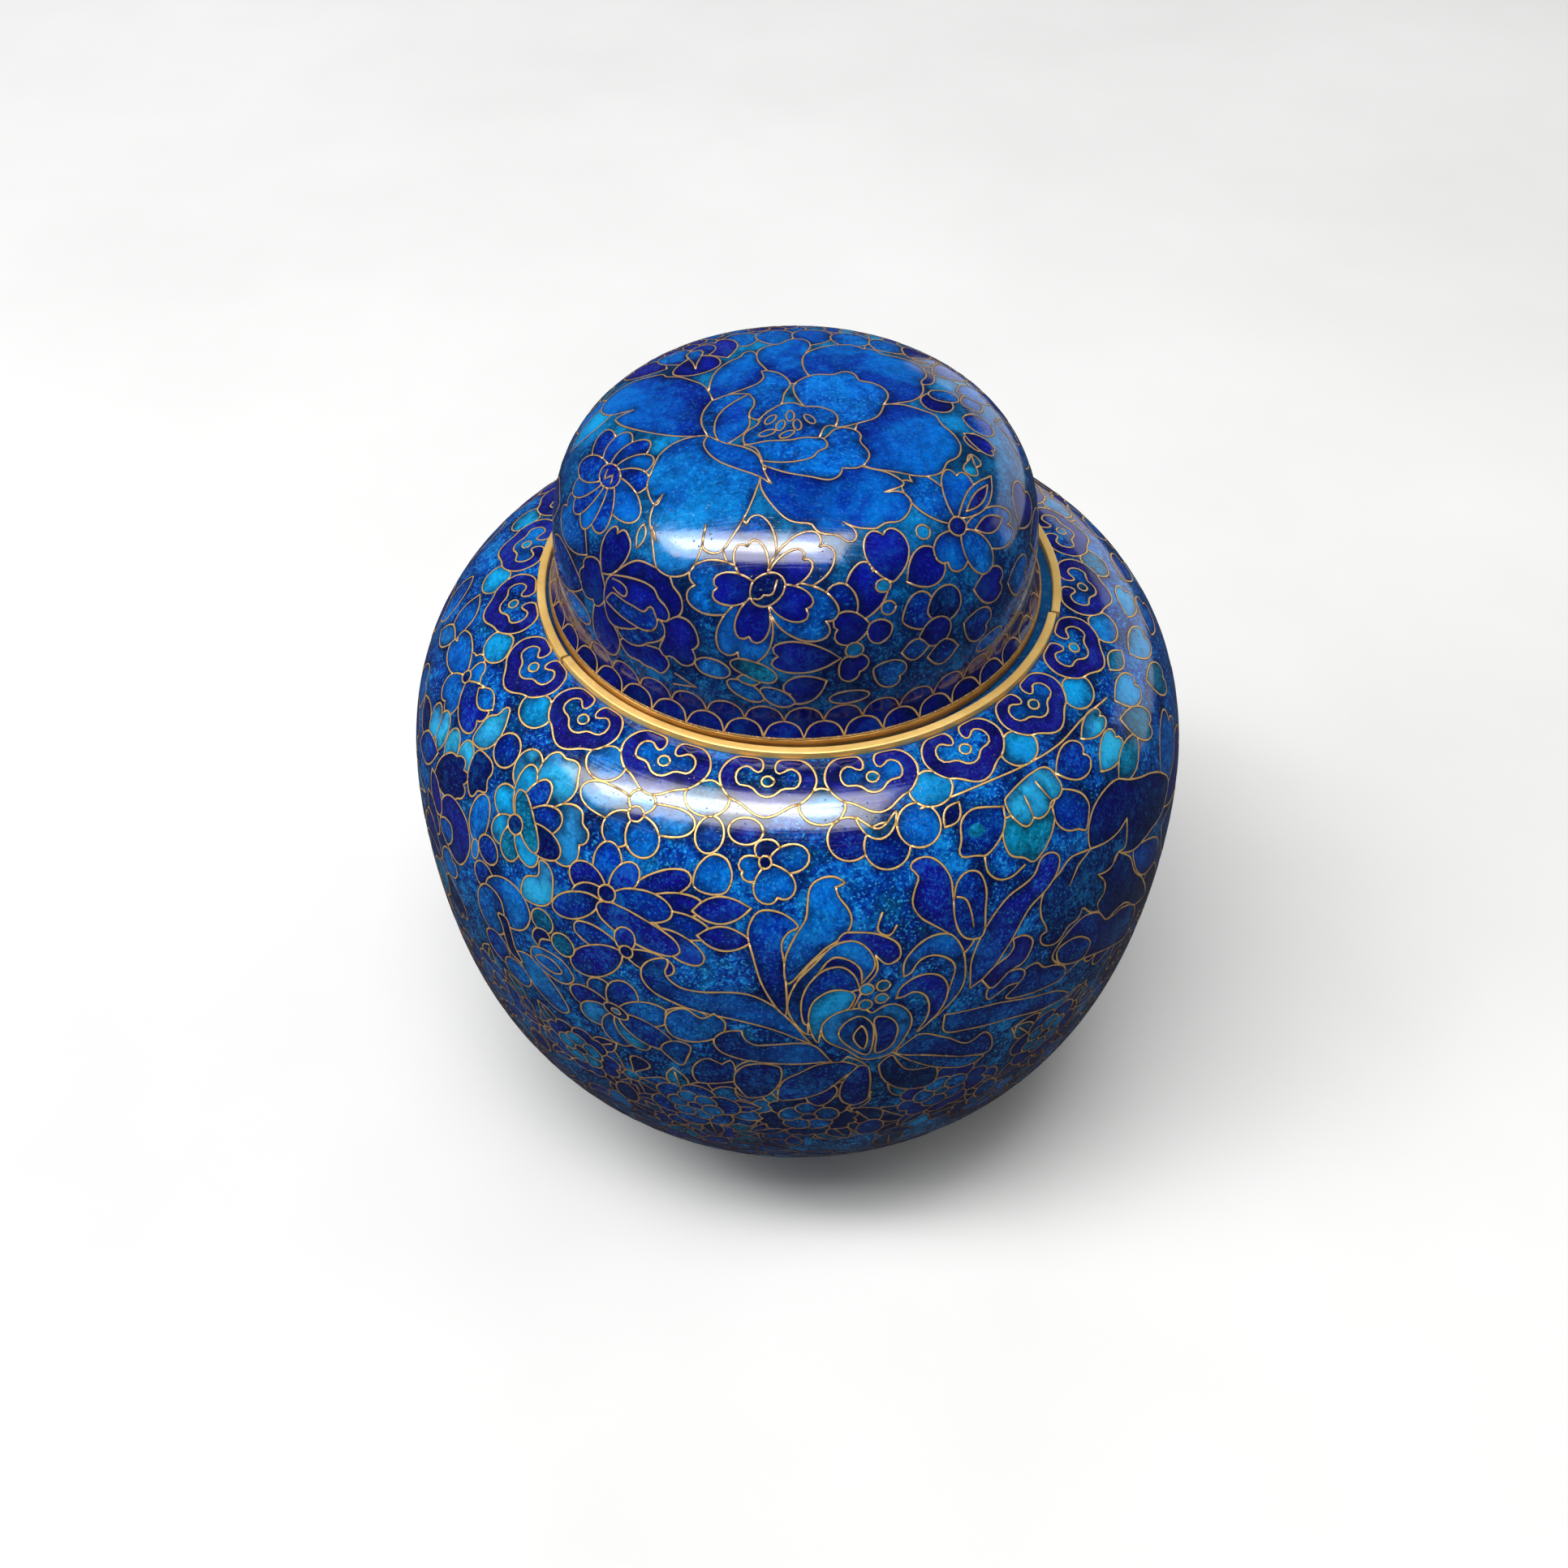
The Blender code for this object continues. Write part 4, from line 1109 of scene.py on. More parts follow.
    # nested curls, left
    C([(-88.5, 43), (-90.6, 37.5), (-90, 33), (-88.2, 29.7), (-84.5, 26), (-84, 25.1), (-82, 25),
       (-78.5, 26), (-76.4, 28), (-76.4, 30), (-78, 30.8), (-79.6, 29, 1), (-79.4, 31.4), (-81, 34),
       (-82.6, 38), (-84.6, 43)], "c", axis=((-86, 43), (-80, 25)))
    C([(-88.5, 43), (-91, 37.5), (-90, 33), (-87.5, 29.5), (-84.8, 26.6), (-82.2, 26.3), (-80.4, 28),
       (-79.7, 30.5), (-81.5, 33.5, 1), (-81.6, 31), (-83, 29.3), (-85, 28.6), (-87, 31), (-88.4, 35)], "a",
      axis=((-88, 42), (-82, 27)))
    C([(-88.5, 41), (-89.2, 36), (-88, 32.5), (-86, 30.5), (-84, 30.3), (-82.5, 31.8), (-81.7, 34.5, 1),
       (-83.4, 35), (-86, 36.6), (-87.4, 39)], "r")
    C([(-87, 45), (-88.3, 40), (-87.5, 36), (-85.5, 34.4), (-83.5, 34.5), (-82.4, 35.2), (-83, 38, 1),
       (-85.5, 39.5), (-86.6, 42)], "t")
    # nested curls, right
    C([(-76, 33.4, 1), (-75.9, 31), (-74.5, 29), (-72, 27.6), (-69.5, 28), (-68, 30.5), (-67.5, 34),
       (-68, 38.5), (-70, 41.5), (-72, 43.5), (-70.4, 39.6), (-69.4, 36.5), (-69, 33.5), (-70.5, 31.5),
       (-72.5, 30.7), (-74, 31.3), (-75.3, 33.3)], "a", axis=((-70, 42), (-74, 28)))
    C([(-77, 37.2, 1), (-76.5, 35.5), (-75, 34.2), (-73, 33.8), (-71, 34.8), (-70, 37), (-70.2, 40),
       (-71, 42), (-74, 45.5), (-72.8, 43), (-72.5, 40), (-73.3, 37.5), (-74.8, 36.6), (-76.3, 37.4)], "c")
    # bulb of crescents
    C([(-83, 47.5, 1), (-86.3, 44), (-86.5, 41), (-85, 39), (-82.5, 38.2), (-81, 38.5), (-80, 39.6),
       (-79.5, 39), (-77.5, 38.2), (-75.8, 39.5), (-74.8, 42), (-75.5, 46), (-78, 50), (-81, 50)], "l")
    C([(-84.4, 43), (-83.6, 41), (-81.6, 39.8), (-80.2, 41.4), (-79.8, 45), (-80.6, 49), (-82.6, 47)], "a")
    C([(-79.4, 40.4), (-78, 40.8), (-76.7, 43), (-76.7, 45.4), (-77.6, 48), (-79.2, 49), (-79.4, 45)], "c")
    C([(-82.5, 44), (-81.4, 42), (-80.6, 44.6), (-81, 47.4)], "n")
    for c, r in (((-80.8, 34.7), 1.05), ((-78.7, 34.4), 1.05), ((-81, 37.6), 1.05), ((-78.9, 36.8), 1.0)):
        E(c, r, r, "t")

    # ruyi heads at the shoulder
    seen = [-190.5, -171.3, -151.5, -133.6, -114.7, -95.2, -76.4, -57.9, -39.8, -21.2, -2.3, 16.3]
    ruyi_border(cv, seen + [16.3 + 19.15 * k for k in range(1, 8)])
    return cv


# ---- the lid's picture ---------------------------------------------------------------
def lid_picture():
    cv = Canvas(LID)
    cv.background = "G2"
    P, F, X, E, C, Ln = cv.pet, cv.fpet, cv.flat, cv.ell, cv.cell, cv.flatline
    # hidden back slope: the same blossoms, plainer
    scatter(cv, 25, 155, 27, 46, 15.0, 7.0, ("and", "rtd", "tcd", "acn"), "dre")
    # azure petals beyond the big flower
    for x, w in ((-9, 5.4), (-3.5, 5.6), (2.5, 6), (8.6, 6), (14.6, 6), (20, 5.4)):
        F((x * 0.8, 15.5), (x * 1.05, 22.6 - 0.012 * x * x), w, "round", "a" if x != 2.5 else "p")
    F((-19, 11), (-25.5, 15.5), 5.4, "heart", "v")
    F((-17, 11.5), (-19, 17.5), 5.0, "heart", "a")
    F((-10, 12), (-12.5, 19), 5.4, "heart", "v")
    F((-13, 13.5), (-14.5, 18), 3.6, "round", "c")
    # left azure and royal petals over the rim side
    for b, t, w, kind, col in (
            ((-146, 39), (-164, 37), 6.2, "heart", "a"), ((-145, 44), (-165, 45.5), 6.4, "heart", "r"),
            ((-167, 39), (-180, 43), 6.0, "heart", "c"), ((-166, 46), (-178, 49.5), 5.0, "leaf", "a"),
            ((-182, 30), (-196, 33), 6.0, "heart", "a"), ((-184, 38), (-199, 42), 6.0, "heart", "r"),
            ((-186, 46), (-197, 48), 5.0, "leaf", "e"), ((-180, 35), (-188, 27), 5.0, "heart", "t")):
        P(b, t, w, kind, col)
    # long-petalled daisy on the left
    c = (-155.5, 28.8)
    for t, w, col in (((-176.5, 27.5), 4.0, "r"), ((-170, 24.2), 4.2, "p"), ((-159.5, 21.6), 4.4, "r"),
                      ((-149, 22.6), 4.2, "p"), ((-141.6, 25.6), 4.2, "r"), ((-136, 30.3), 4.2, "p"),
                      ((-144.2, 35), 4.2, "r"), ((-150.8, 36.6), 4.0, "p"), ((-158, 36.4), 4.0, "r"),
                      ((-164, 35), 3.8, "p"), ((-170, 32.2), 4.0, "r")):
        P(c, t, w, "round", col)
    E(c, 2.5, 1.6, "c")
    cv.line([(-158.2, 28.6), (-155.9, 29.6), (-154.8, 28.4), (-152.6, 29.3)])

    # ---- dark rose, front left ----
    C([(-140.5, 44.9, 1), (-141.2, 47.8), (-140.4, 50.5), (-137.5, 51.6), (-136.7, 51.8, 1),
       (-134.4, 51.6), (-132.1, 49.7), (-131.8, 47.5), (-133.7, 45.8), (-135.7, 44.2), (-137.0, 42.0),
       (-138.1, 42.4)], "d")
    C([(-139.3, 39.5, 1), (-141.1, 38.3), (-144.3, 38.6), (-146.8, 40.3), (-146.2, 40.9, 1),
       (-147.6, 41.9), (-146.2, 43.9), (-144.2, 45.0), (-141.1, 44.4, 1), (-140.5, 44.9), (-137.0, 43.1),
       (-137.7, 40.7)], "d")
    C([(-139.3, 39.5, 1), (-141.3, 37.6), (-142.5, 35.5), (-142.1, 33.4), (-140.5, 32.6),
       (-139.2, 33.4, 1), (-138.2, 32.4), (-136.1, 32.7), (-133.5, 33.9), (-133.5, 36.0),
       (-134.9, 37.8, 1), (-136.3, 38.7)], "d")
    C([(-131.6, 48.0), (-128.9, 49.8), (-126.2, 49.5), (-124.6, 50.0, 1), (-122.3, 49.7),
       (-120.5, 50.1), (-118.6, 48.9), (-117.9, 47.3), (-118.8, 46.7), (-120.3, 45.9), (-123.7, 46.1)], "d")
    C([(-120.1, 41.1), (-118.2, 40.4), (-115.7, 39.8), (-113.0, 40.2), (-111.5, 41.4), (-111.0, 43.3),
       (-112.3, 44.1, 1), (-111.5, 45.1), (-112.3, 46.6), (-114.5, 47.2), (-116.8, 46.4),
       (-117.9, 46.1, 1), (-118.8, 46.7), (-120.3, 45.9), (-119.2, 43.4)], "d")
    C([(-136.3, 38.7, 1), (-134.9, 37.8), (-133.1, 36.4), (-130.4, 35.0), (-125.6, 34.7), (-119.9, 35.3),
       (-119.0, 36.2, 1), (-116.9, 36.8), (-115.6, 38.2), (-115.7, 39.5), (-117.3, 40.2), (-118.9, 41.0),
       (-127.1, 41.4)], "d")
    C([(-134.9, 45.8, 1), (-133.0, 45.3), (-131.9, 46.7), (-129.4, 47.3), (-124.7, 46.4),
       (-123.7, 45.7, 1), (-120.9, 44.7), (-119.2, 43.4), (-119.3, 42.0), (-121.0, 41.3), (-122.3, 43.3),
       (-127.4, 43.9)], "r")
    C([(-136.6, 39.0), (-137.4, 40.7), (-137.2, 42.8), (-134.9, 45.8), (-128.0, 44.7), (-121.0, 41.3),
       (-118.9, 41.1), (-118.4, 40.2), (-120.1, 38.9), (-122.1, 38.5, 1), (-122.7, 37.7), (-125.3, 37.2),
       (-129.4, 37.4), (-133.5, 38.1)], "d")
    C([(-134.8, 40.8, 1), (-131.4, 41.1), (-127.2, 41.1), (-124.8, 41.2), (-124.2, 40.2, 1),
       (-123.4, 39.8), (-122.0, 40.8), (-121.2, 41.9), (-122.3, 43.3), (-124.1, 43.8), (-127.4, 43.9),
       (-130.9, 43.7), (-134.7, 43.2), (-136.3, 42.9)], "r")
    cv.line([(-135.6, 39.1), (-132.3, 38.9), (-130.3, 39.5), (-130.9, 40.5), (-132.3, 40.6), (-134.8, 40.2)])
    C([(-131.8, 33.6, 1), (-133.3, 32.5), (-134.0, 31.2), (-133.5, 30.3), (-132.1, 30.7), (-131.0, 31.9),
       (-131.3, 33.0)], "e")

    # ---- blossoms, front right ----
    for b, t, w, kind, col in (
            ((-83, 47), (-91.6, 49.4), 4.6, "heart", "s"), ((-80, 43.6), (-94.8, 43), 4.6, "heart", "d"),
            ((-80, 43.8), (-75.4, 46.4), 4.6, "heart", "d"), ((-78, 39), (-70, 31.8), 5.6, "heart", "d"),
            ((-77, 38.4), (-81, 33.4), 4.0, "round", "r"), ((-73, 39.4), (-81.4, 39.4), 4.6, "heart", "s"),
            ((-66.5, 34.6), (-65, 27.4), 6.2, "heart", "d"), ((-63, 35), (-52.6, 33.4), 5.2, "heart", "d"),
            ((-66, 40), (-57.6, 39), 5.2, "heart", "r"), ((-68, 40), (-74, 41), 3.4, "round", "d"),
            ((-59.6, 40), (-50, 39.6), 5.0, "round", "n"), ((-62, 43), (-53.6, 43.4), 4.2, "round", "d"),
            ((-60, 46.8), (-51.6, 47.2), 4.2, "leaf", "r"), ((-66.4, 44.6), (-59.6, 45), 3.4, "leaf", "a"),
            ((-73, 46), (-66, 48.6), 4.4, "heart", "a"), ((-50, 44), (-42, 47), 5.0, "heart", "r"),
            ((-46, 40), (-36, 42), 5.0, "heart", "d"), ((-34, 43), (-24, 45), 5.6, "heart", "a"),
            ((-24, 38), (-12, 36), 6, "heart", "d"), ((-20, 42), (-8, 44), 6, "heart", "r"),
            ((-4, 36), (8, 34), 6, "heart", "a"), ((-2, 42), (10, 44), 6, "heart", "d"),
            ((12, 34), (24, 31), 6, "heart", "r"), ((14, 42), (26, 43), 6, "heart", "t"),
            ((24, 38), (36, 37), 6, "heart", "d")):
        P(b, t, w, kind, col)
    E((-69, 34.6), 1.1, 0.9, "t")
    E((-68.6, 37.6), 1.1, 1.0, "a")
    E((-77, 42.6), 1.3, 1.1, "t")
    # azure blossom, right
    for b, t, w, kind, col in (
            ((-43.4, 31), (-46.4, 21.8), 5.6, "heart", "a"), ((-43, 30.6), (-29.6, 25.4), 5.0, "heart", "p"),
            ((-43, 32), (-26, 36.4), 5.6, "heart", "a"), ((-43.6, 31.6), (-51.8, 35), 5.6, "heart", "p"),
            ((-43.2, 31.8), (-39.6, 39), 4.6, "round", "a"), ((-42, 30.4), (-21, 29.8), 3.4, "leaf", "a"),
            ((-38, 30.3), (-25, 30), 1.6, "leaf", "v"), ((-39, 33), (-28.4, 34.6), 2.4, "leaf", "v")):
        P(b, t, w, kind, col)
    E((-43.4, 31.2), 1.5, 1.3, "c")
    P((-27, 26.4), (-18, 26.8), 2.4, "drop", "t")
    P((-15.5, 26.6), (-7.5, 25.4), 4.0, "leaf", "d")
    P((-6, 26.4), (4, 25.4), 4.4, "leaf", "r")
    P((6, 27), (14, 25), 4.4, "leaf", "a")

    # ---- small front blossom ----
    c = (-97.6, 34.0)
    for t, w, kind, col in (((-105.4, 24.6), 7.0, "heart", "a"), ((-81.6, 27.6), 6.6, "heart", "p"),
                            ((-115.4, 35.2), 7.0, "heart", "a"), ((-102.6, 44), 7.0, "heart", "p"),
                            ((-81.4, 38.6), 7.0, "heart", "a")):
        P(c, t, w, kind, col)
    for t, w, kind, col in (((-103.4, 28.0), 4.4, "heart", "d"), ((-86.6, 29.4), 4.2, "heart", "d"),
                            ((-109.4, 34.8), 4.2, "heart", "d"), ((-100.0, 41.2), 4.4, "heart", "d"),
                            ((-86.2, 36.6), 4.4, "heart", "d")):
        P(c, t, w, kind, col)
    C([(-100.3, 34.8), (-100.0, 33.2), (-97.4, 32.0), (-94.0, 31.8), (-92.4, 32.6), (-92.7, 34.4),
       (-95.2, 35.9), (-97.8, 36.3), (-99.5, 35.8)], "n")
    cv.line([(-99.3, 35.3), (-98.2, 35.5), (-97.0, 34.7), (-95.6, 34.8), (-94.2, 32.7)])
    C([(-97.3, 48.4), (-94.6, 48.2), (-90.9, 49.4), (-89.6, 50.8), (-91.4, 51.6), (-94.4, 51.2),
       (-96.6, 49.8)], "r")
    C([(-104.6, 47.8), (-101.3, 47.4), (-98.3, 48.3), (-96.4, 50.6), (-97.9, 51.0), (-101.4, 50.3),
       (-103.9, 49.1)], "a")
    C([(-102.1, 47.1), (-100.3, 46.3), (-97.8, 46.7), (-97.1, 47.4), (-98.3, 48.0), (-100.8, 47.8)], "t")
    C([(-103.9, 44.6), (-102.4, 44.0), (-98.8, 44.1), (-94.8, 45.1), (-93.4, 46.4), (-94.6, 47.4),
       (-97.3, 47.3), (-101.3, 46.2), (-103.3, 45.5)], "e")
    C([(-111.8, 45.9), (-110.1, 44.9), (-107.0, 44.8), (-103.9, 45.7), (-103.6, 46.7), (-104.9, 47.5),
       (-108.0, 47.7), (-110.7, 47.2)], "a")
    cv.line([(-116.5, 49), (-111.5, 50.3, 1), (-117, 51.0)])
    # gap fillers low on the sides
    for a, s, w, h, col in ((-121, 31, 2.0, 1.4, "t"), (-148, 48.6, 3.6, 1.8, "a"),
                            (-158, 50, 3.0, 1.3, "a"), (-78, 50.3, 2.8, 1.1, "a"),
                            (-41, 50, 3.0, 1.3, "a"), (-26, 49.6, 3.0, 1.4, "t"),
                            (-8, 49.8, 3.0, 1.3, "a"), (8, 49.6, 3, 1.3, "e")):
        E((a, s), w, h, col)

    # ---- right of the big flower ----
    X([(17.5, 1.5), (18.6, 3.6), (21, 4), (22.5, 2), (21.4, -.2), (18.8, -.5)], "d")
    F((18.8, 3.4), (23.6, 4.6), 3.0, "oval", "a")
    F((23.6, -.4), (28.8, -.8), 4.4, "round", "r")
    F((23.6, -4.2), (28.6, -5.6), 3.2, "heart", "d")
    F((24.6, -8.2), (24.4, -12.4), 2.6, "drop", "t")
    F((23.4, 6.6), (28.4, 9.6), 4.6, "heart", "a")
    F((20, 10), (25, 15.6), 5.0, "heart", "r")
    F((16.6, 14.6), (19, 20), 4.4, "heart", "d")
    F((29.4, 2.6), (34.6, 4.4), 4.6, "heart", "a")
    E((-53.8, 29.6), 1.1, 1.1, "t")
    # dark bud, upper left
    X([(-17.8, 8.4), (-16, 7.5), (-13, 8), (-11, 10), (-11.6, 12.4), (-14, 13.5), (-16.6, 12.2)], "d")
    F((-14.6, 9.4), (-15.2, 16.2), 2.6, "drop", "a")

    # ---- the big flower on top: back petals first ----
    X([(-5.7, 11), (-5.5, 14), (-4, 15.5, 1), (-2, 16.3), (-1.5, 17.4, 1), (0, 18), (1.3, 17.5), (2, 16),
       (1.8, 14), (1.3, 13), (2.5, 12), (3, 9.5), (2, 6.5), (0, 4.2), (-4, 6)], "p",
      axis=((0, 5), (0, 18)))
    X([(1.5, 13), (3.5, 14.8), (6, 16), (8.5, 16.3), (9.7, 15.2, 1), (11.5, 15.4), (12.5, 14, 1),
       (15, 13.8), (17.5, 12.8), (18.8, 10.5), (18.8, 8.5), (17.9, 7, 1), (18.2, 5), (17.8, 3), (16.5, 1.2),
       (14, 0), (12, -.8), (7, 3), (2, 6)], "p", axis=((5, 3), (14, 15)))
    X([(-12, 0), (-12.3, 4), (-11.5, 8), (-9.8, 10.6), (-8, 12, 1), (-7.8, 13.2), (-6.5, 13.8),
       (-5.8, 12.5), (-5.7, 11), (-4, 7), (-6, 0)], "p", axis=((-7, 2), (-8, 13)))
    X([(-12.2, 2), (-13, 4), (-15, 6), (-17.5, 7.8), (-19, 8.2, 1), (-19.2, 9.2), (-21, 9.6), (-25, 10),
       (-28, 8.5), (-29, 5), (-28.5, 3.5), (-27, 1.8), (-23.2, .8, 1), (-26, 0), (-25, -2, 1),
       (-23.5, -3.5), (-21.5, -5), (-19, -6.5), (-15.5, -7.8), (-12, -8)], "p",
      axis=((-12, -2), (-29, 4)))
    X([(11.7, -.8), (15, -.2), (18, -1), (19.5, -1.5), (20.3, -3.5, 1), (22, -5), (23, -7), (22.6, -9.5),
       (20.8, -11.3, 1), (20, -13.5), (18, -14.8), (13, -15), (9.5, -14.6), (8, -8)], "p",
      axis=((9, -7), (22, -9)))
    pol = [(s * math.cos(a * RAD), s * math.sin(a * RAD)) + tuple(q[2:]) for q in
           [(-133.5, 27), (-131, 30), (-127.5, 32.5), (-124, 34.8), (-120, 35), (-116, 33.8),
            (-114.8, 31.5), (-116.3, 27, 1), (-114, 30.3), (-110, 30.3), (-108.5, 29.2, 1), (-106, 25),
            (-105, 20)] for a, s in [q[:2]]]
    X([(-12, -8.2), (-15, -8.3), (-17, -9.2), (-18.8, -11, 1), (-19.6, -13.5), (-20.3, -16),
       (-18.8, -19.7), (-18, -18.3, 1), (-19.5, -20), (-20, -22), (-19.2, -25, 1)] + pol[1:]
      + [(-4.7, -17), (-8, -13)], "q", axis=((-7, -11), (-17, -27)))
    X([(-4.7, -18), (-3, -22), (-.5, -24.5), (2.3, -24.8, 1), (2.8, -25.8), (6, -26.3, 1), (7, -27.2),
       (8.2, -26.8), (8.2, -25.5), (6.4, -24.3, 1), (8, -24.9), (11, -24.8, 1), (12, -23.7), (14, -23.2),
       (15.3, -21.5), (15.6, -19.5), (14.3, -18.4), (12, -18.8, 1), (14.6, -16.8), (13.3, -15.7),
       (9.5, -14.8), (3, -13), (-3, -14)], "p", axis=((3, -14), (7, -26)))
    # inner petals
    X([(0, 4.5), (1.5, 6), (3, 6.7), (5.5, 6.7), (6.5, 7.6), (7.8, 7.6), (8.6, 6.5), (8.8, 5.3, 1), (11, 4.8),
       (12.5, 3.5), (13, 1.5), (12.3, -.5, 1), (12, -2), (11, -4), (9, -5.2), (5.7, -6.5), (2, -3)], "a",
      axis=((3, -4), (9, 6)))
    X([(-5, 7.5), (-3.2, 7.4), (-1.5, 5.8), (-.8, 4), (-1.7, 1.5), (-2, -1), (-3.5, -3), (-5.3, -5, 1),
       (-8, -3.4), (-11.5, 0), (-9.5, 1.5), (-7, 3), (-5.2, 4.5), (-4.6, 6)], "a",
      axis=((-5, -4), (-4, 7)))
    X([(-11.9, 0, 1), (-13, -3), (-13, -5.5), (-12.3, -7.5), (-11, -10), (-9.7, -10.3, 1), (-10.7, -9),
       (-11.2, -6), (-10.5, -3), (-8.5, -.3), (-6.6, 1.5, 1), (-9, 1.6)], "a")
    X([(-6.6, 1.5, 1), (-8.5, -.3), (-10.5, -3), (-11.2, -6), (-10.7, -9), (-9.7, -10.3), (-8, -9),
       (-6.4, -6.6), (-6.4, -4.4), (-6.5, -3), (-5.9, -1.8), (-5.9, 0)], "p")
    X([(-12, -8.2, 1), (-12.6, -9.5), (-12, -11.5), (-10.5, -13.5), (-8, -15.2), (-5, -16.8),
       (-3.2, -18.3, 1), (-4, -16.5), (-4.6, -14), (-5.2, -12.5), (-7, -11), (-9.6, -10)], "p")
    X([(-4.5, -14.5), (-2, -16), (2, -17), (5, -17.4), (6, -16.5), (6.3, -15.2, 1), (8.5, -14.9), (10, -12),
       (9.3, -10.5), (8.6, -9.5, 1), (9, -8.3), (7, -6.5), (5.8, -6.7), (4, -9), (0, -12)], "a",
      axis=((3, -9), (4, -17)))
    X([(-7, -10.6, 1), (-5.5, -11.2), (-4.8, -12.8), (-4.5, -14, 1), (-2, -14.3), (.5, -14), (2.5, -13),
       (3, -11.8, 1), (4.2, -11.3), (4.3, -10), (3.5, -9), (1.5, -8.6), (-.3, -9), (-4, -8)], "a")
    X([(-6.9, -10.4), (-7, -8), (-5.3, -6.3, 1), (-4.6, -4), (-3, -2), (-1.5, -.8), (0, -.8), (1, -1.6, 1),
       (3.5, -1.8), (5.3, -3), (5.8, -4.5), (5.5, -6.2, 1), (4.3, -6.2), (3.5, -7.8), (3.2, -9),
       (1.5, -8.9), (-.3, -9.5), (-4, -9.8)], "a")
    for x, y, q in ((-3.5, -4.9, 60), (-.8, -4.0, 90), (-2.1, -6.3, 75), (.2, -6.1, 95),
                    (-1.2, -8.3, 40), (1.9, -4.7, 120), (-3.9, -8.0, 30)):
        cv.fell((x, y), 1.3, 0.6, "a", q)

    # scales on the rim
    for row, (top, bot, off) in enumerate(((51.6, 56.2, 0.0), (54.2, 57.5, 0.5))):
        for k in range(42):
            a = -113.5 + (k + off) * 360.0 / 42
            h = 360.0 / 42 / 2
            cv.cell([(a - h * 1.02, bot + 1.5), (a - h * 0.99, top + 2.5), (a - h * 0.72, top + .75),
                     (a, top), (a + h * 0.72, top + .75), (a + h * 0.99, top + 2.5),
                     (a + h * 1.02, bot + 1.5)], "s")
    return cv


# ---- building the pieces ---------------------------------------------------------------
def turned_rows(rows, cx, cy):
    """Vertices of rings of NSEG points; a radius of 0 gives one point."""
    ang = 2 * np.pi * np.arange(NSEG) / NSEG
    out = []
    for r, z in rows:
        if r < 1e-6:
            out.append(np.array([[cx, cy, z]]))
        else:
            out.append(np.stack([cx + r * np.cos(ang), cy + r * np.sin(ang), np.full(NSEG, z)], -1))
    return out


def profile_normals(rows, breaks):
    """Outward normals of a profile that runs with its outside on the right."""
    p = np.array(rows, float)
    n = len(p)
    seg = np.diff(p, axis=0)
    sn = np.stack([seg[:, 1], -seg[:, 0]], -1)
    sn /= np.linalg.norm(sn, axis=1, keepdims=True) + 1e-12
    a, b = np.empty_like(p), np.empty_like(p)
    for i in range(n):
        x = sn[max(0, i - 1)]
        y = sn[min(n - 2, i)]
        if i in breaks:
            a[i], b[i] = x, y
        else:
            m = x + y
            m /= np.linalg.norm(m) + 1e-12
            a[i] = b[i] = m
    return a, b                       # normal for the segment before, after


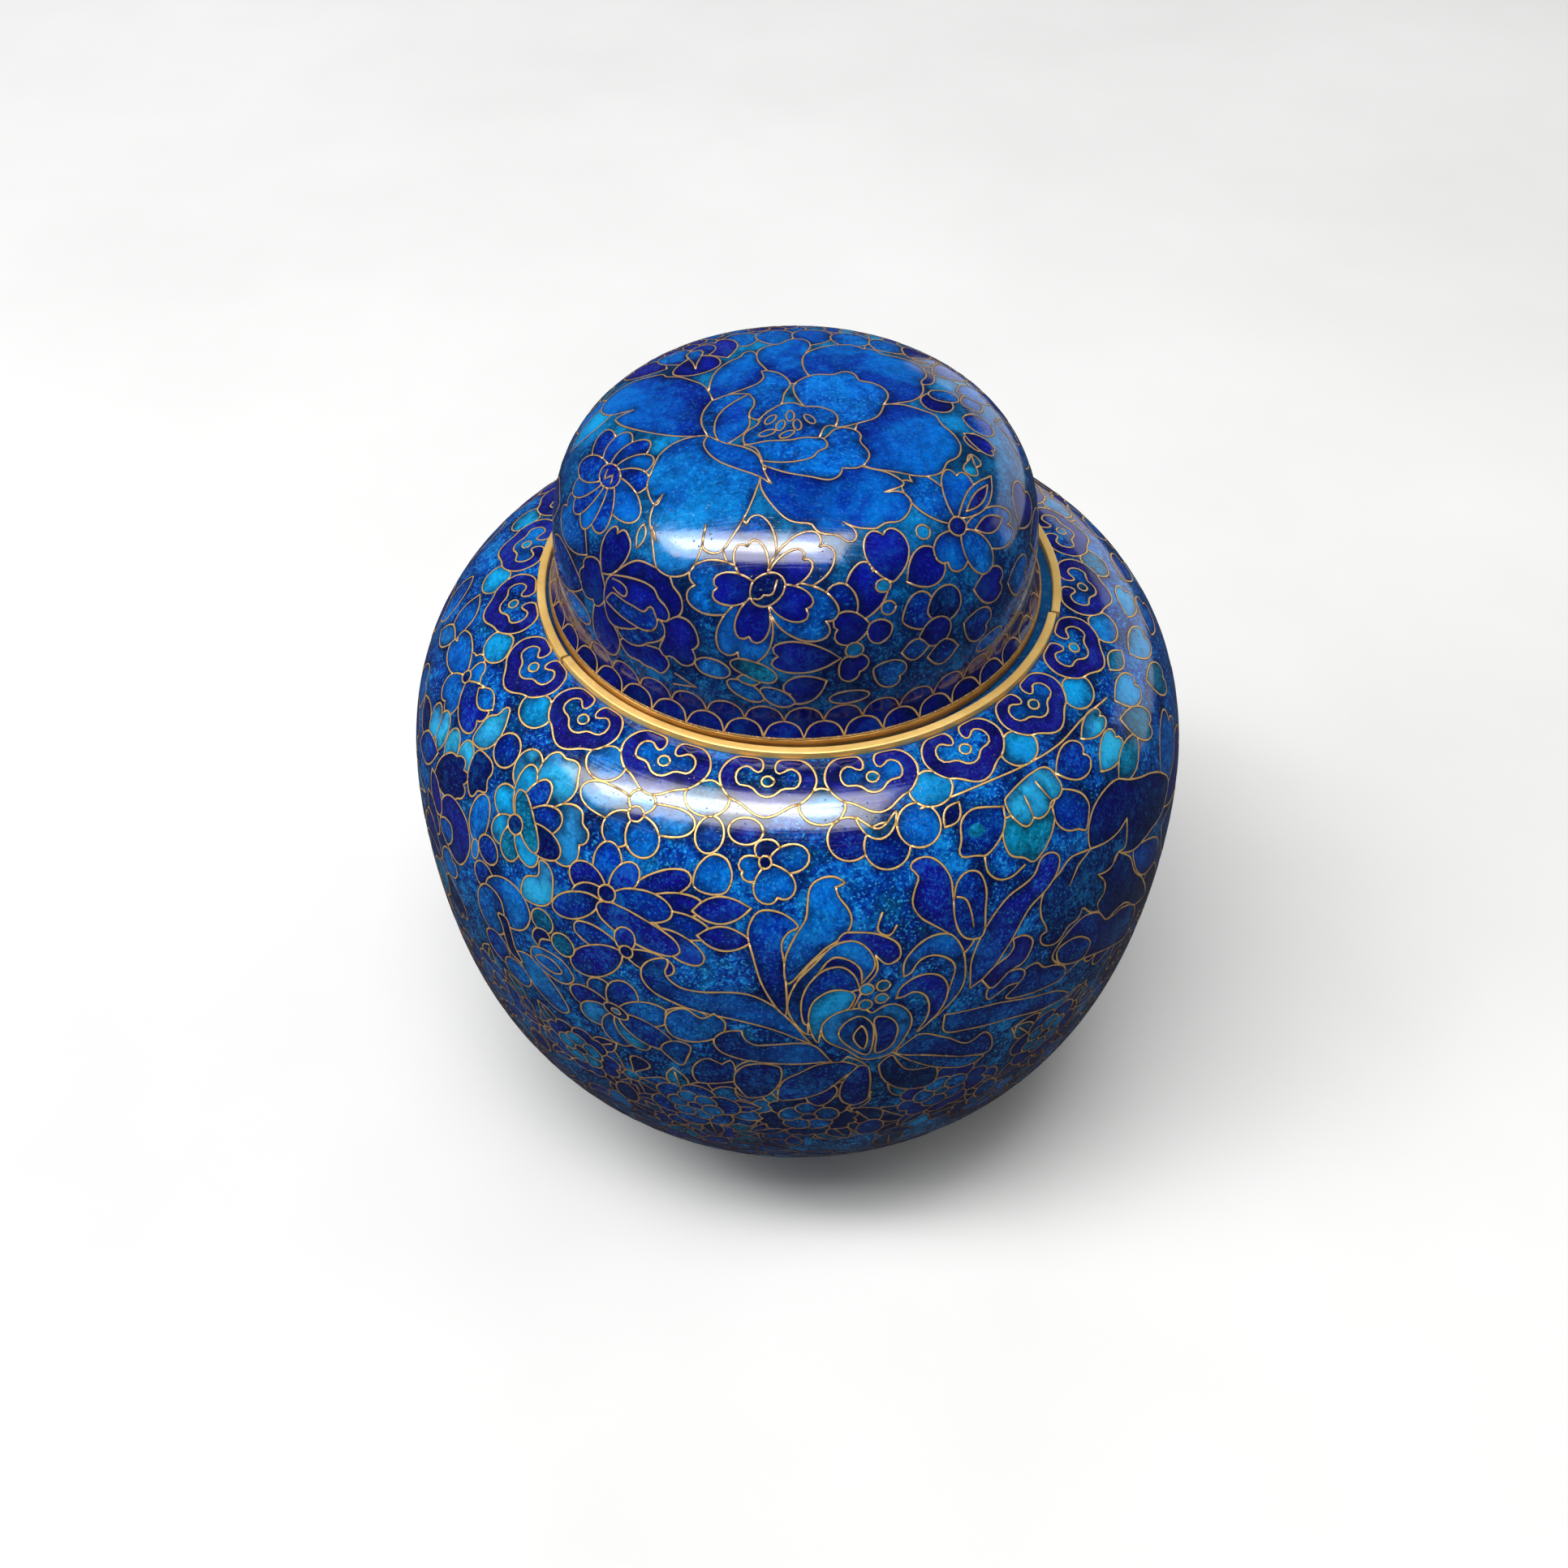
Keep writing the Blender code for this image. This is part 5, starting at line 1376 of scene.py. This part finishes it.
def vessel(name, cv, spacing, sectors, parts, mats, node):
    """One closed mesh: the enamel cells and the turned parts joined to them.

    parts: list of (rows, breaks, mats per row gap, ends) where ends says which
    boundary ring of the enamel each end of the rows shares, or None."""
    v, tri, label, wires = tessellate(cv, spacing, sectors)
    f = cv.f
    th, s = f.from_plane(v)
    pos, nrm = f.point(th, s)
    rho = np.hypot(v[:, 0], v[:, 1])
    ang = np.round((np.degrees(th) % 360) / (360.0 / NSEG)).astype(int) % NSEG
    rings = {}
    for key, target in (("outer", f.p0 + f.end), ("inner", f.p0)):
        if key == "inner" and not f.p0:
            continue
        idx = np.where(np.abs(rho - target) < 2e-3)[0]
        ring = np.full(NSEG, -1)
        off = np.abs((np.degrees(th[idx]) % 360) / (360.0 / NSEG) - np.round(
            (np.degrees(th[idx]) % 360) / (360.0 / NSEG)))
        for i, o in zip(idx, off):
            if o < 1e-3:
                ring[ang[i]] = i
        if (ring < 0).any():
            raise RuntimeError("boundary ring is broken: %s %s" % (name, key))
        rings[key] = ring
    # how far each vertex lies from a wire, up to 0.9 mm
    on = sorted({i for w in wires for i in w})
    tree = KDTree(len(on))
    for i in on:
        tree.insert(Vector(pos[i]), i)
    tree.balance()
    away = np.array([min(1.0, tree.find(Vector(q))[2] / 0.9) for q in pos])
    verts = [pos]
    faces = tri.tolist()
    corner_n = nrm[tri].reshape(-1, 3).tolist()
    fmat = [0] * len(faces)
    # colour, mottling and flat coordinates of every corner
    tint = np.zeros((len(tri), 3, 4), np.float32)
    mot = np.zeros((len(tri), 3), np.float32)
    tv = v[tri]
    for i in range(-1, len(cv.cells)):
        sel = np.where(label == i)[0]
        if not len(sel):
            continue
        c = None if i < 0 else cv.cells[i]
        key = cv.background if c is None else c["col"]
        q = tv[sel]
        if key == "g" and f is BODY:
            # painted shade: the blue ground blends into a darker ground towards the bottom of the body
            u = np.clip((np.hypot(q[..., 0], q[..., 1]) - f.p0 - 30) / 30, 0, 1)[..., None]
            lo = lin(ENAMEL["g"][0]) * (1 - u) + lin(ENAMEL["G"][0]) * u
            hi = lin(ENAMEL["g"][1]) * (1 - u) + lin(ENAMEL["G"][1]) * u
            m = ENAMEL["g"][2] * (1 - u[..., 0]) + ENAMEL["G"][2] * u[..., 0]
        elif key == "G2":
            # painted shade: the lid's teal ground blends into a darker ground towards its edge
            u = np.clip((np.hypot(q[..., 0], q[..., 1]) - 26) / 12, 0, 1)[..., None]
            lo = lin(ENAMEL["G2"][0]) * (1 - u) + lin(ENAMEL["L"][0]) * u
            hi = lin(ENAMEL["G2"][1]) * (1 - u) + lin(ENAMEL["L"][1]) * u
            m = np.full(q.shape[:2], 0.5)
        elif isinstance(key, tuple):
            lo, hi = lin(ENAMEL[key[0]][0]), lin(ENAMEL[key[1]][1])
            m = 0.5 * (ENAMEL[key[0]][2] + ENAMEL[key[1]][2])
        else:
            lo, hi, m = lin(ENAMEL[key][0]), lin(ENAMEL[key][1]), ENAMEL[key][2]
        if c is None:
            g = np.full(q.shape[:2], 0.5)
        elif c["axis"] is not None:
            a, b = c["axis"]
            d = b - a
            g = np.clip(((q - a) @ d) / float(d @ d), 0, 1)
            g = 0.04 + 0.92 * g + 0.12 * c["tint"]
        else:
            p = c["p"]
            lo_s, hi_s = np.hypot(*p.T).min(), np.hypot(*p.T).max()
            g = (np.hypot(q[..., 0], q[..., 1]) - lo_s) / max(1e-6, hi_s - lo_s)
            g = 0.35 + 0.3 * (1 - g) + 0.28 * c["tint"]
        g = np.clip(g, 0, 1)[..., None]
        col = lo * (1 - g) + hi * g
        if f is BODY:                 # painted shade: the low belly is darkened towards the bottom
            low = np.clip((np.hypot(q[..., 0], q[..., 1]) - f.p0 - 20) / 36, 0, 1)[..., None]
            col = col * (1 - 0.60 * low)
        else:                         # painted shade: the side of the lid is darkened towards its edge
            low = np.clip((np.hypot(q[..., 0], q[..., 1]) - 30) / 18, 0, 1)[..., None]
            col = col * (1 - 0.34 * low)
        tint[sel, :, :3] = col
        mot[sel] = m
    tint[..., 3] = 1
    # flat coordinates: three sectors and the turned parts in four quarters,
    # or for the lid the flat disc beside a smaller one
    ctr_th = np.degrees(np.arctan2(tv.mean(1)[:, 1], tv.mean(1)[:, 0])) % 360
    if f.p0:
        sec = np.minimum((ctr_th // 120).astype(int), 2)
        t_ = np.degrees(th)[tri] % 360
        t_ = np.where(t_ - ctr_th[:, None] > 180, t_ - 360, t_)
        t_ = np.where(t_ - ctr_th[:, None] < -180, t_ + 360, t_)
        u = np.clip((t_ - 120 * sec[:, None]) / 120, 0, 1)
        w = np.clip(s[tri] / f.end, 0, 1)
        ox = np.array([0.0, 0.5, 0.0])[sec][:, None]
        oy = np.array([0.0, 0.0, 0.5])[sec][:, None]
        uv = np.stack([0.01 + ox + u * 0.48, 0.01 + oy + w * 0.48], -1)
        box = (0.51, 0.51, 0.48)
    else:
        uv = 0.5 * 0.72 + tv / (2 * f.end) * 0.71
        box = (0.75, 0.02, 0.23)
    uvs = uv.reshape(-1, 2).tolist()
    cols = tint.reshape(-1, 4).tolist()
    mots = mot.ravel().tolist()
    rims = away[tri].ravel().tolist()
    count = len(pos)
    total = sum(len(r) for r, _, _, _ in parts)
    done = 0
    for rows, breaks, gap_mats, ends in parts:
        ids = []
        for i, ring in enumerate(turned_rows(rows, f.cx, f.cy)):
            end = ends[0] if i == 0 else ends[1] if i == len(rows) - 1 else None
            if end:
                ids.append(rings[end])
            else:
                ids.append(np.arange(count, count + len(ring)))
                verts.append(ring)
                count += len(ring)
        na, nb = profile_normals(rows, breaks)
        a = 2 * np.pi * np.arange(NSEG + 1) / NSEG
        ca, sa = np.cos(a), np.sin(a)
        for i in range(len(rows) - 1):
            lo, hi = ids[i], ids[i + 1]
            n0, n1 = nb[i], na[i + 1]
            v0 = box[1] + box[2] * (done + i) / total
            v1 = box[1] + box[2] * (done + i + 1) / total
            for j in range(NSEG):
                k = (j + 1) % NSEG
                u0, u1 = box[0] + box[2] * j / NSEG, box[0] + box[2] * (j + 1) / NSEG
                N = lambda n, q: (n[0] * ca[q], n[0] * sa[q], n[1])
                if len(lo) == 1:
                    faces.append((int(lo[0]), int(hi[k]), int(hi[j])))
                    corner_n += [N(n0, j), N(n1, j + 1), N(n1, j)]
                    uvs += [(u0, v0), (u1, v1), (u0, v1)]
                elif len(hi) == 1:
                    faces.append((int(lo[j]), int(lo[k]), int(hi[0])))
                    corner_n += [N(n0, j), N(n0, j + 1), N(n1, j)]
                    uvs += [(u0, v0), (u1, v0), (u0, v1)]
                else:
                    faces.append((int(lo[j]), int(lo[k]), int(hi[k]), int(hi[j])))
                    corner_n += [N(n0, j), N(n0, j + 1), N(n1, j + 1), N(n1, j)]
                    uvs += [(u0, v0), (u1, v0), (u1, v1), (u0, v1)]
                fmat.append(gap_mats[i])
        done += len(rows)
    extra = len(uvs) - len(cols)
    cols += [(0.1, 0.3, 0.5, 1.0)] * extra
    mots += [0.0] * extra
    rims += [1.0] * extra
    me = bpy.data.meshes.new(name)
    me.from_pydata((np.concatenate(verts) * MM).tolist(), [], faces)
    me.update()
    for m in mats:
        me.materials.append(m)
    me.polygons.foreach_set("material_index", fmat)
    me.shade_smooth()
    at = me.color_attributes.new("tint", "FLOAT_COLOR", "CORNER")
    at.data.foreach_set("color", np.asarray(cols, np.float32).ravel())
    at = me.attributes.new("mottle", "FLOAT", "CORNER")
    at.data.foreach_set("value", np.asarray(mots, np.float32))
    at = me.attributes.new("rim", "FLOAT", "CORNER")
    at.data.foreach_set("value", np.asarray(rims, np.float32))
    layer = me.uv_layers.new(name="OFBake")
    layer.data.foreach_set("uv", np.asarray(uvs, np.float32).ravel())
    me.normals_split_custom_set(corner_n)
    ob = bpy.data.objects.new(name, me)
    bpy.context.scene.collection.objects.link(ob)
    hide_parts(node)
    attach(ob, "root")
    return ob, v, wires


def wire_pieces(name, cv, v, wires, n, width=1.0):
    """The inlaid wires as n pieces, each a stretch of the jar's circumference."""
    mid = np.array([(v[i] + v[j]) / 2 for i, j in wires])
    sec = ((np.degrees(np.arctan2(mid[:, 1], mid[:, 0])) % 360) / (360.0 / n)).astype(int)
    out = []
    for k in range(n):
        pairs = [w for w, q in zip(wires, sec) if q == k]
        V, F, M, TS = ribbons(cv, v, pairs, width)
        ob = new_mesh("%s_%d" % (name, k + 1), V, F.tolist())
        me = ob.data
        me.materials.append(WIRE)
        me.materials.append(EDGE_JOINT_AND_SHADOW)
        me.polygons.foreach_set("material_index", M)
        uv = []
        loops = np.empty(len(me.loops), int)
        me.loops.foreach_get("vertex_index", loops)
        starts = np.empty(len(me.polygons), int)
        me.polygons.foreach_get("loop_total", starts)
        mat = np.repeat(M, starts)
        th = (np.degrees(TS[loops, 0]) % 360) / 360.0
        ss = TS[loops, 1] / cv.f.end
        lo = k / n
        uv = np.stack([0.01 + 0.47 * np.clip((th - lo) * n, 0, 1) + 0.5 * mat, 0.01 + 0.98 * ss], -1)
        set_uv(ob, uv)
        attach(ob, "root")
        out.append(ob)
    return out


def ring_length(name, a0, a1, out0, out1, node, mat):
    """A length of flat gilt wire, a little uneven, with worn round corners."""
    z0, w, h = LEDGE_H - 0.02, RING_W, 1.13
    sec = [(0.0, 0.0), (w, 0.0), (w, h - 0.30), (w - 0.04, h - 0.10), (w - 0.14, h - 0.02),
           (w - 0.3, h), (0.30, h), (0.14, h - 0.02), (0.04, h - 0.10), (0.0, h - 0.30)]
    n = int(abs(a1 - a0) * 1.6)
    m = len(sec)
    verts, faces, uv = [], [], []
    for i in range(n + 1):
        f = i / n
        a = (a0 + (a1 - a0) * f) * RAD
        out = out0 * max(0.0, 1 - f * 4) ** 2 + out1 * max(0.0, f * 4 - 3) ** 2
        wob = 0.03 * math.sin(7 * a) + 0.02 * math.sin(17 * a + 1.3)
        for x, z in sec:
            r = RING_R - RING_W + out + x * (1 + 0.5 * wob) + wob
            r = min(r, RING_R + max(out, 0) + 0.05)
            verts.append((r * math.cos(a), r * math.sin(a), z0 + z * (1 + 0.6 * wob)))
    for i in range(n):
        for j in range(m):
            k = (j + 1) % m
            a = i * m
            faces.append((a + j, a + k, a + m + k, a + m + j))
            u0, u1 = i / n, (i + 1) / n
            uv += [(u0, j / m), (u0, (j + 1) / m), (u1, (j + 1) / m), (u1, j / m)]
    faces.append(tuple(range(m - 1, -1, -1)))
    faces.append(tuple(n * m + j for j in range(m)))
    uv += [(0.0, 0.0)] * (2 * m)
    ob = new_mesh(name, verts, faces)
    ob.data.materials.append(mat)
    ob.data.set_sharp_from_angle(angle=math.radians(40))
    set_uv(ob, uv)
    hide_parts(node)
    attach(ob, "root")
    return ob


def lid_rim_piece(mat):
    """The gilt band on the edge of the lid, rounded by wear."""
    z0, z1 = LEDGE_H + 0.02, LEDGE_H + 0.3 + RIM_TOP
    ro, ri = LID_RIM_R, LID_RIM_R - LID_WALL - 0.2
    h = z1 - z0
    sec = [(ri, z0), (ro - 0.3, z0), (ro - 0.08, z0 + 0.1), (ro, z0 + 0.34), (ro + 0.01, z0 + h * 0.5),
           (ro, z1 - 0.42), (ro - 0.1, z1 - 0.16), (ro - 0.3, z1 - 0.02), (ro - 0.7, z1), (ri, z1)]
    verts, faces, uv = [], [], []
    m = len(sec)
    for i in range(NSEG):
        a = 2 * math.pi * i / NSEG
        wob = 0.03 * math.sin(5 * a + 1) + 0.02 * math.sin(13 * a)
        for r, z in sec:
            q = r + (wob if r > ri + 1 else 0)
            verts.append((LID_X + q * math.cos(a), LID_Y + q * math.sin(a), z))
    for i in range(NSEG):
        k = (i + 1) % NSEG
        for j in range(m):
            l = (j + 1) % m
            faces.append((i * m + j, k * m + j, k * m + l, i * m + l))
            u0, u1 = i / NSEG, (i + 1) / NSEG
            uv += [(u0, j / m), (u1, j / m), (u1, (j + 1) / m), (u0, (j + 1) / m)]
    ob = new_mesh("gilt_lid_rim", verts, faces)
    ob.data.materials.append(mat)
    ob.data.set_sharp_from_angle(angle=math.radians(50))
    set_uv(ob, uv)
    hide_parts("lid_rim")
    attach(ob, "root")
    return ob


ENAMEL_MAT = enamel_material()
WIRE = wire_material()
EDGE_JOINT_AND_SHADOW = edge_joint_and_shadow_material()
GILT = metal_material("gilt_ring", (234, 190, 106), (246, 208, 128), 0.46, 2600, 0.06, -0.2, 0.55)
# painted reflection: the lid band's gilt is darker and browner than the ring's, standing in for a brown surface
# mirrored in its upright face
GILT_RIM_PAINTED_REFLECTION = metal_material("gilt_rim_painted_reflection", (176, 124, 56), (206, 152, 78), 0.42, 2600, 0.25, -0.1, 0.7)
GILT_NECK = metal_material("gilt_neck", (150, 104, 52), (210, 164, 90), 0.40, 2200, 0.6, 0.1)
LEDGE = plain_enamel("ledge_enamel", (0, 44, 92), (4, 78, 128), (60, 120, 160), 0.24)
COUNTER = plain_enamel("counter_enamel", (20, 96, 150), (52, 138, 184), (120, 180, 208), 0.34)


def build_body():
    cv = body_picture()
    top = LEDGE_H + NECK_RISE
    under = LEDGE_H - WALL
    nt = NECK_R - NECK_T
    # from the enamel's upper edge inward, over the neck and down the inside
    rows = [(LEDGE_R, LEDGE_H), (NECK_R + 0.25, LEDGE_H), (NECK_R, LEDGE_H + 0.25), (NECK_R, top - 0.4),
            (NECK_R - 0.15, top - 0.1), (NECK_R - 0.45, top), (nt + 0.45, top), (nt + 0.15, top - 0.1),
            (nt, top - 0.4), (nt, under)]
    mats = [2, 1, 1, 1, 1, 1, 1, 1, 1]
    lat = np.radians(np.linspace(70, -80, 1200))
    r, z = body_point(lat, WALL)
    ok = (z < under) & (z > FLOOR_Z) & (r > 5)
    r, z = r[ok], z[ok]
    pick = np.linspace(0, len(r) - 1, 34).astype(int)
    inner = [(float(r[i]), float(z[i])) for i in pick]
    rows += [(inner[0][0], under)] + inner[1:] + [(r[-1] - 1.0, FLOOR_Z), (12.0, FLOOR_Z), (0.0, FLOOR_Z)]
    mats += [3] * (len(rows) - 1 - len(mats))
    zf = float(BODY.z[-1])
    foot = [(FOOT_R, zf), (FOOT_R, 1.6), (FOOT_R, 0.35), (FOOT_R - 0.12, 0.1), (FOOT_R - 0.4, 0.0),
            (FOOT_IN_R + 0.4, 0.0), (FOOT_IN_R + 0.12, 0.1), (FOOT_IN_R, 0.35), (FOOT_IN_R, FOOT_RECESS - 0.3),
            (FOOT_IN_R - 0.3, FOOT_RECESS), (14.0, FOOT_RECESS), (0.0, FOOT_RECESS)]
    fmats = [1] * 8 + [3] * 3
    foot, fmats = foot[::-1], fmats[::-1]
    return cv, vessel("enamelled_jar_body", cv, 1.35, (0, 120, 240),
                      [(rows, {9}, mats, ("inner", None)),
                       (foot, set(), fmats, (None, "outer"))],
                      [ENAMEL_MAT, GILT_NECK, LEDGE, COUNTER], "jar_body")


def build_lid():
    cv = lid_picture()
    zb = LEDGE_H + 0.3 + RIM_TOP
    t = np.linspace(math.pi / 2, 0, 30)
    k, kz = (LID_R - LID_WALL) / LID_R, (LID_DOME - LID_WALL) / LID_DOME
    rows = [(0.0 if i == 0 else float(LID_R * math.cos(a) ** (2 / LID_POWER) * k),
             LEDGE_H + 0.3 + LID_SIDE + float(LID_DOME * math.sin(a) ** (2 / LID_POWER) * kz))
            for i, a in enumerate(t)]
    ro = float(LID.r[-1])
    rows += [(ro - LID_WALL - 0.2, zb + 0.05), (ro - LID_WALL, zb), (ro, zb)]
    mats = [2] * 30 + [2, 1]
    return cv, vessel("enamelled_lid", cv, 1.15, (), [(rows, {len(rows) - 1, 31}, mats, (None, "outer"))],
                      [ENAMEL_MAT, GILT_RIM_PAINTED_REFLECTION, COUNTER], "lid")


body_cv, (body, body_v, body_w) = build_body()
lid_cv, (lid, lid_v, lid_w) = build_lid()
wire_pieces("body_wires", body_cv, body_v, body_w, 3, 0.76)
wire_pieces("lid_wires", lid_cv, lid_v, lid_w, 1, 0.68)
lid_rim_piece(GILT_RIM_PAINTED_REFLECTION)
b0, b1 = RING_BREAKS
ring_length("gilt_ring_front", b0 + 0.3, b1 - 0.3, 0.0, 0.0, "shoulder_ring_front", GILT)
ring_length("gilt_ring_back", b1 + 0.3, 360.0 + b0 - 0.3, 0.40, 0.2, "shoulder_ring_back", GILT)


# ---- floor, light and camera ---------------------------------------------------------
def floor_material():
    m = Nodes("pale_floor")
    co = m.coords()
    a = m.noise(co, 5, 4, 0.6)
    col = m.mix(m.ramp(a, 0.3, 0.7), (0.62, 0.62, 0.61), (0.68, 0.68, 0.67))
    m.link(col, m.b.inputs["Base Color"])
    m.b.inputs["Roughness"].default_value = 0.8
    m.b.inputs["Specular IOR Level"].default_value = 0.0
    return m.m


def area_light(name, loc, target, sx, sy, watts, colour=(1, 1, 1), glossy=False):
    li = bpy.data.lights.new(name, "AREA")
    li.shape = "RECTANGLE"
    li.size, li.size_y = sx, sy
    li.energy = watts
    li.color = colour
    ob = bpy.data.objects.new(name, li)
    ob.location = loc
    ob.rotation_euler = (Vector(target) - Vector(loc)).to_track_quat("-Z", "Y").to_euler()
    ob.visible_camera = False
    ob.visible_glossy = glossy
    bpy.context.scene.collection.objects.link(ob)
    return ob


me = bpy.data.meshes.new("floor")
me.from_pydata([(-4, -4, 0), (4, -4, 0), (4, 4, 0), (-4, 4, 0)], [], [(0, 1, 2, 3)])
floor = bpy.data.objects.new("floor", me)
floor.data.materials.append(floor_material())
bpy.context.scene.collection.objects.link(floor)
floor.visible_glossy = False

area_light("overhead", (-0.68, -0.38, 1.72), (-0.68, -0.3801, 0.0), 2.3, 0.72, 38, glossy=True)
area_light("overhead_strip", (-0.60, -0.33, 1.70), (-0.60, -0.3301, 0.0), 1.7, 0.26, 17, glossy=True)
area_light("left_fill", (-1.7, -0.5, 0.9), (0, 0, 0.08), 0.9, 0.9, 8, (0.92, 0.96, 1.0))
area_light("right_fill", (1.6, 0.3, 1.3), (0, 0, 0.08), 0.9, 0.9, 8, (1.0, 0.98, 0.95))
veil = area_light("low_panel", (0.47, 0.47, 0.13), (0.03, 0.0, 0.09), 0.8, 0.34, 0.75, (0.90, 0.95, 1.0), glossy=True)
veil.visible_diffuse = False
area_light("back_fill", (0.1, 1.7, 1.2), (0, 0, 0.08), 1.2, 0.7, 9, (0.96, 0.98, 1.0))

world = bpy.data.worlds.new("studio")
bpy.context.scene.world = world
world.use_nodes = True
world.node_tree.nodes["Background"].inputs["Color"].default_value = (0.80, 0.86, 0.95, 1)
world.node_tree.nodes["Background"].inputs["Strength"].default_value = 0.05

yaw, pitch = -0.581 * RAD, 46.396 * RAD
right = Vector((math.cos(yaw), -math.sin(yaw), 0))
forward = Vector((math.cos(pitch) * math.sin(yaw), math.cos(pitch) * math.cos(yaw), -math.sin(pitch)))
up = right.cross(forward)
cam_data = bpy.data.cameras.new("camera")
cam_data.lens = 36.0
cam_data.sensor_width = 36.0
cam_data.clip_start = 0.01
cam = bpy.data.objects.new("camera", cam_data)
rot = Matrix((right, up, -forward)).transposed().to_4x4()
cam.matrix_world = Matrix.Translation(Vector((-0.258, -190.81, 256.60)) * MM) @ rot
bpy.context.scene.collection.objects.link(cam)
bpy.context.scene.camera = cam
bpy.context.scene.view_settings.view_transform = "Standard"
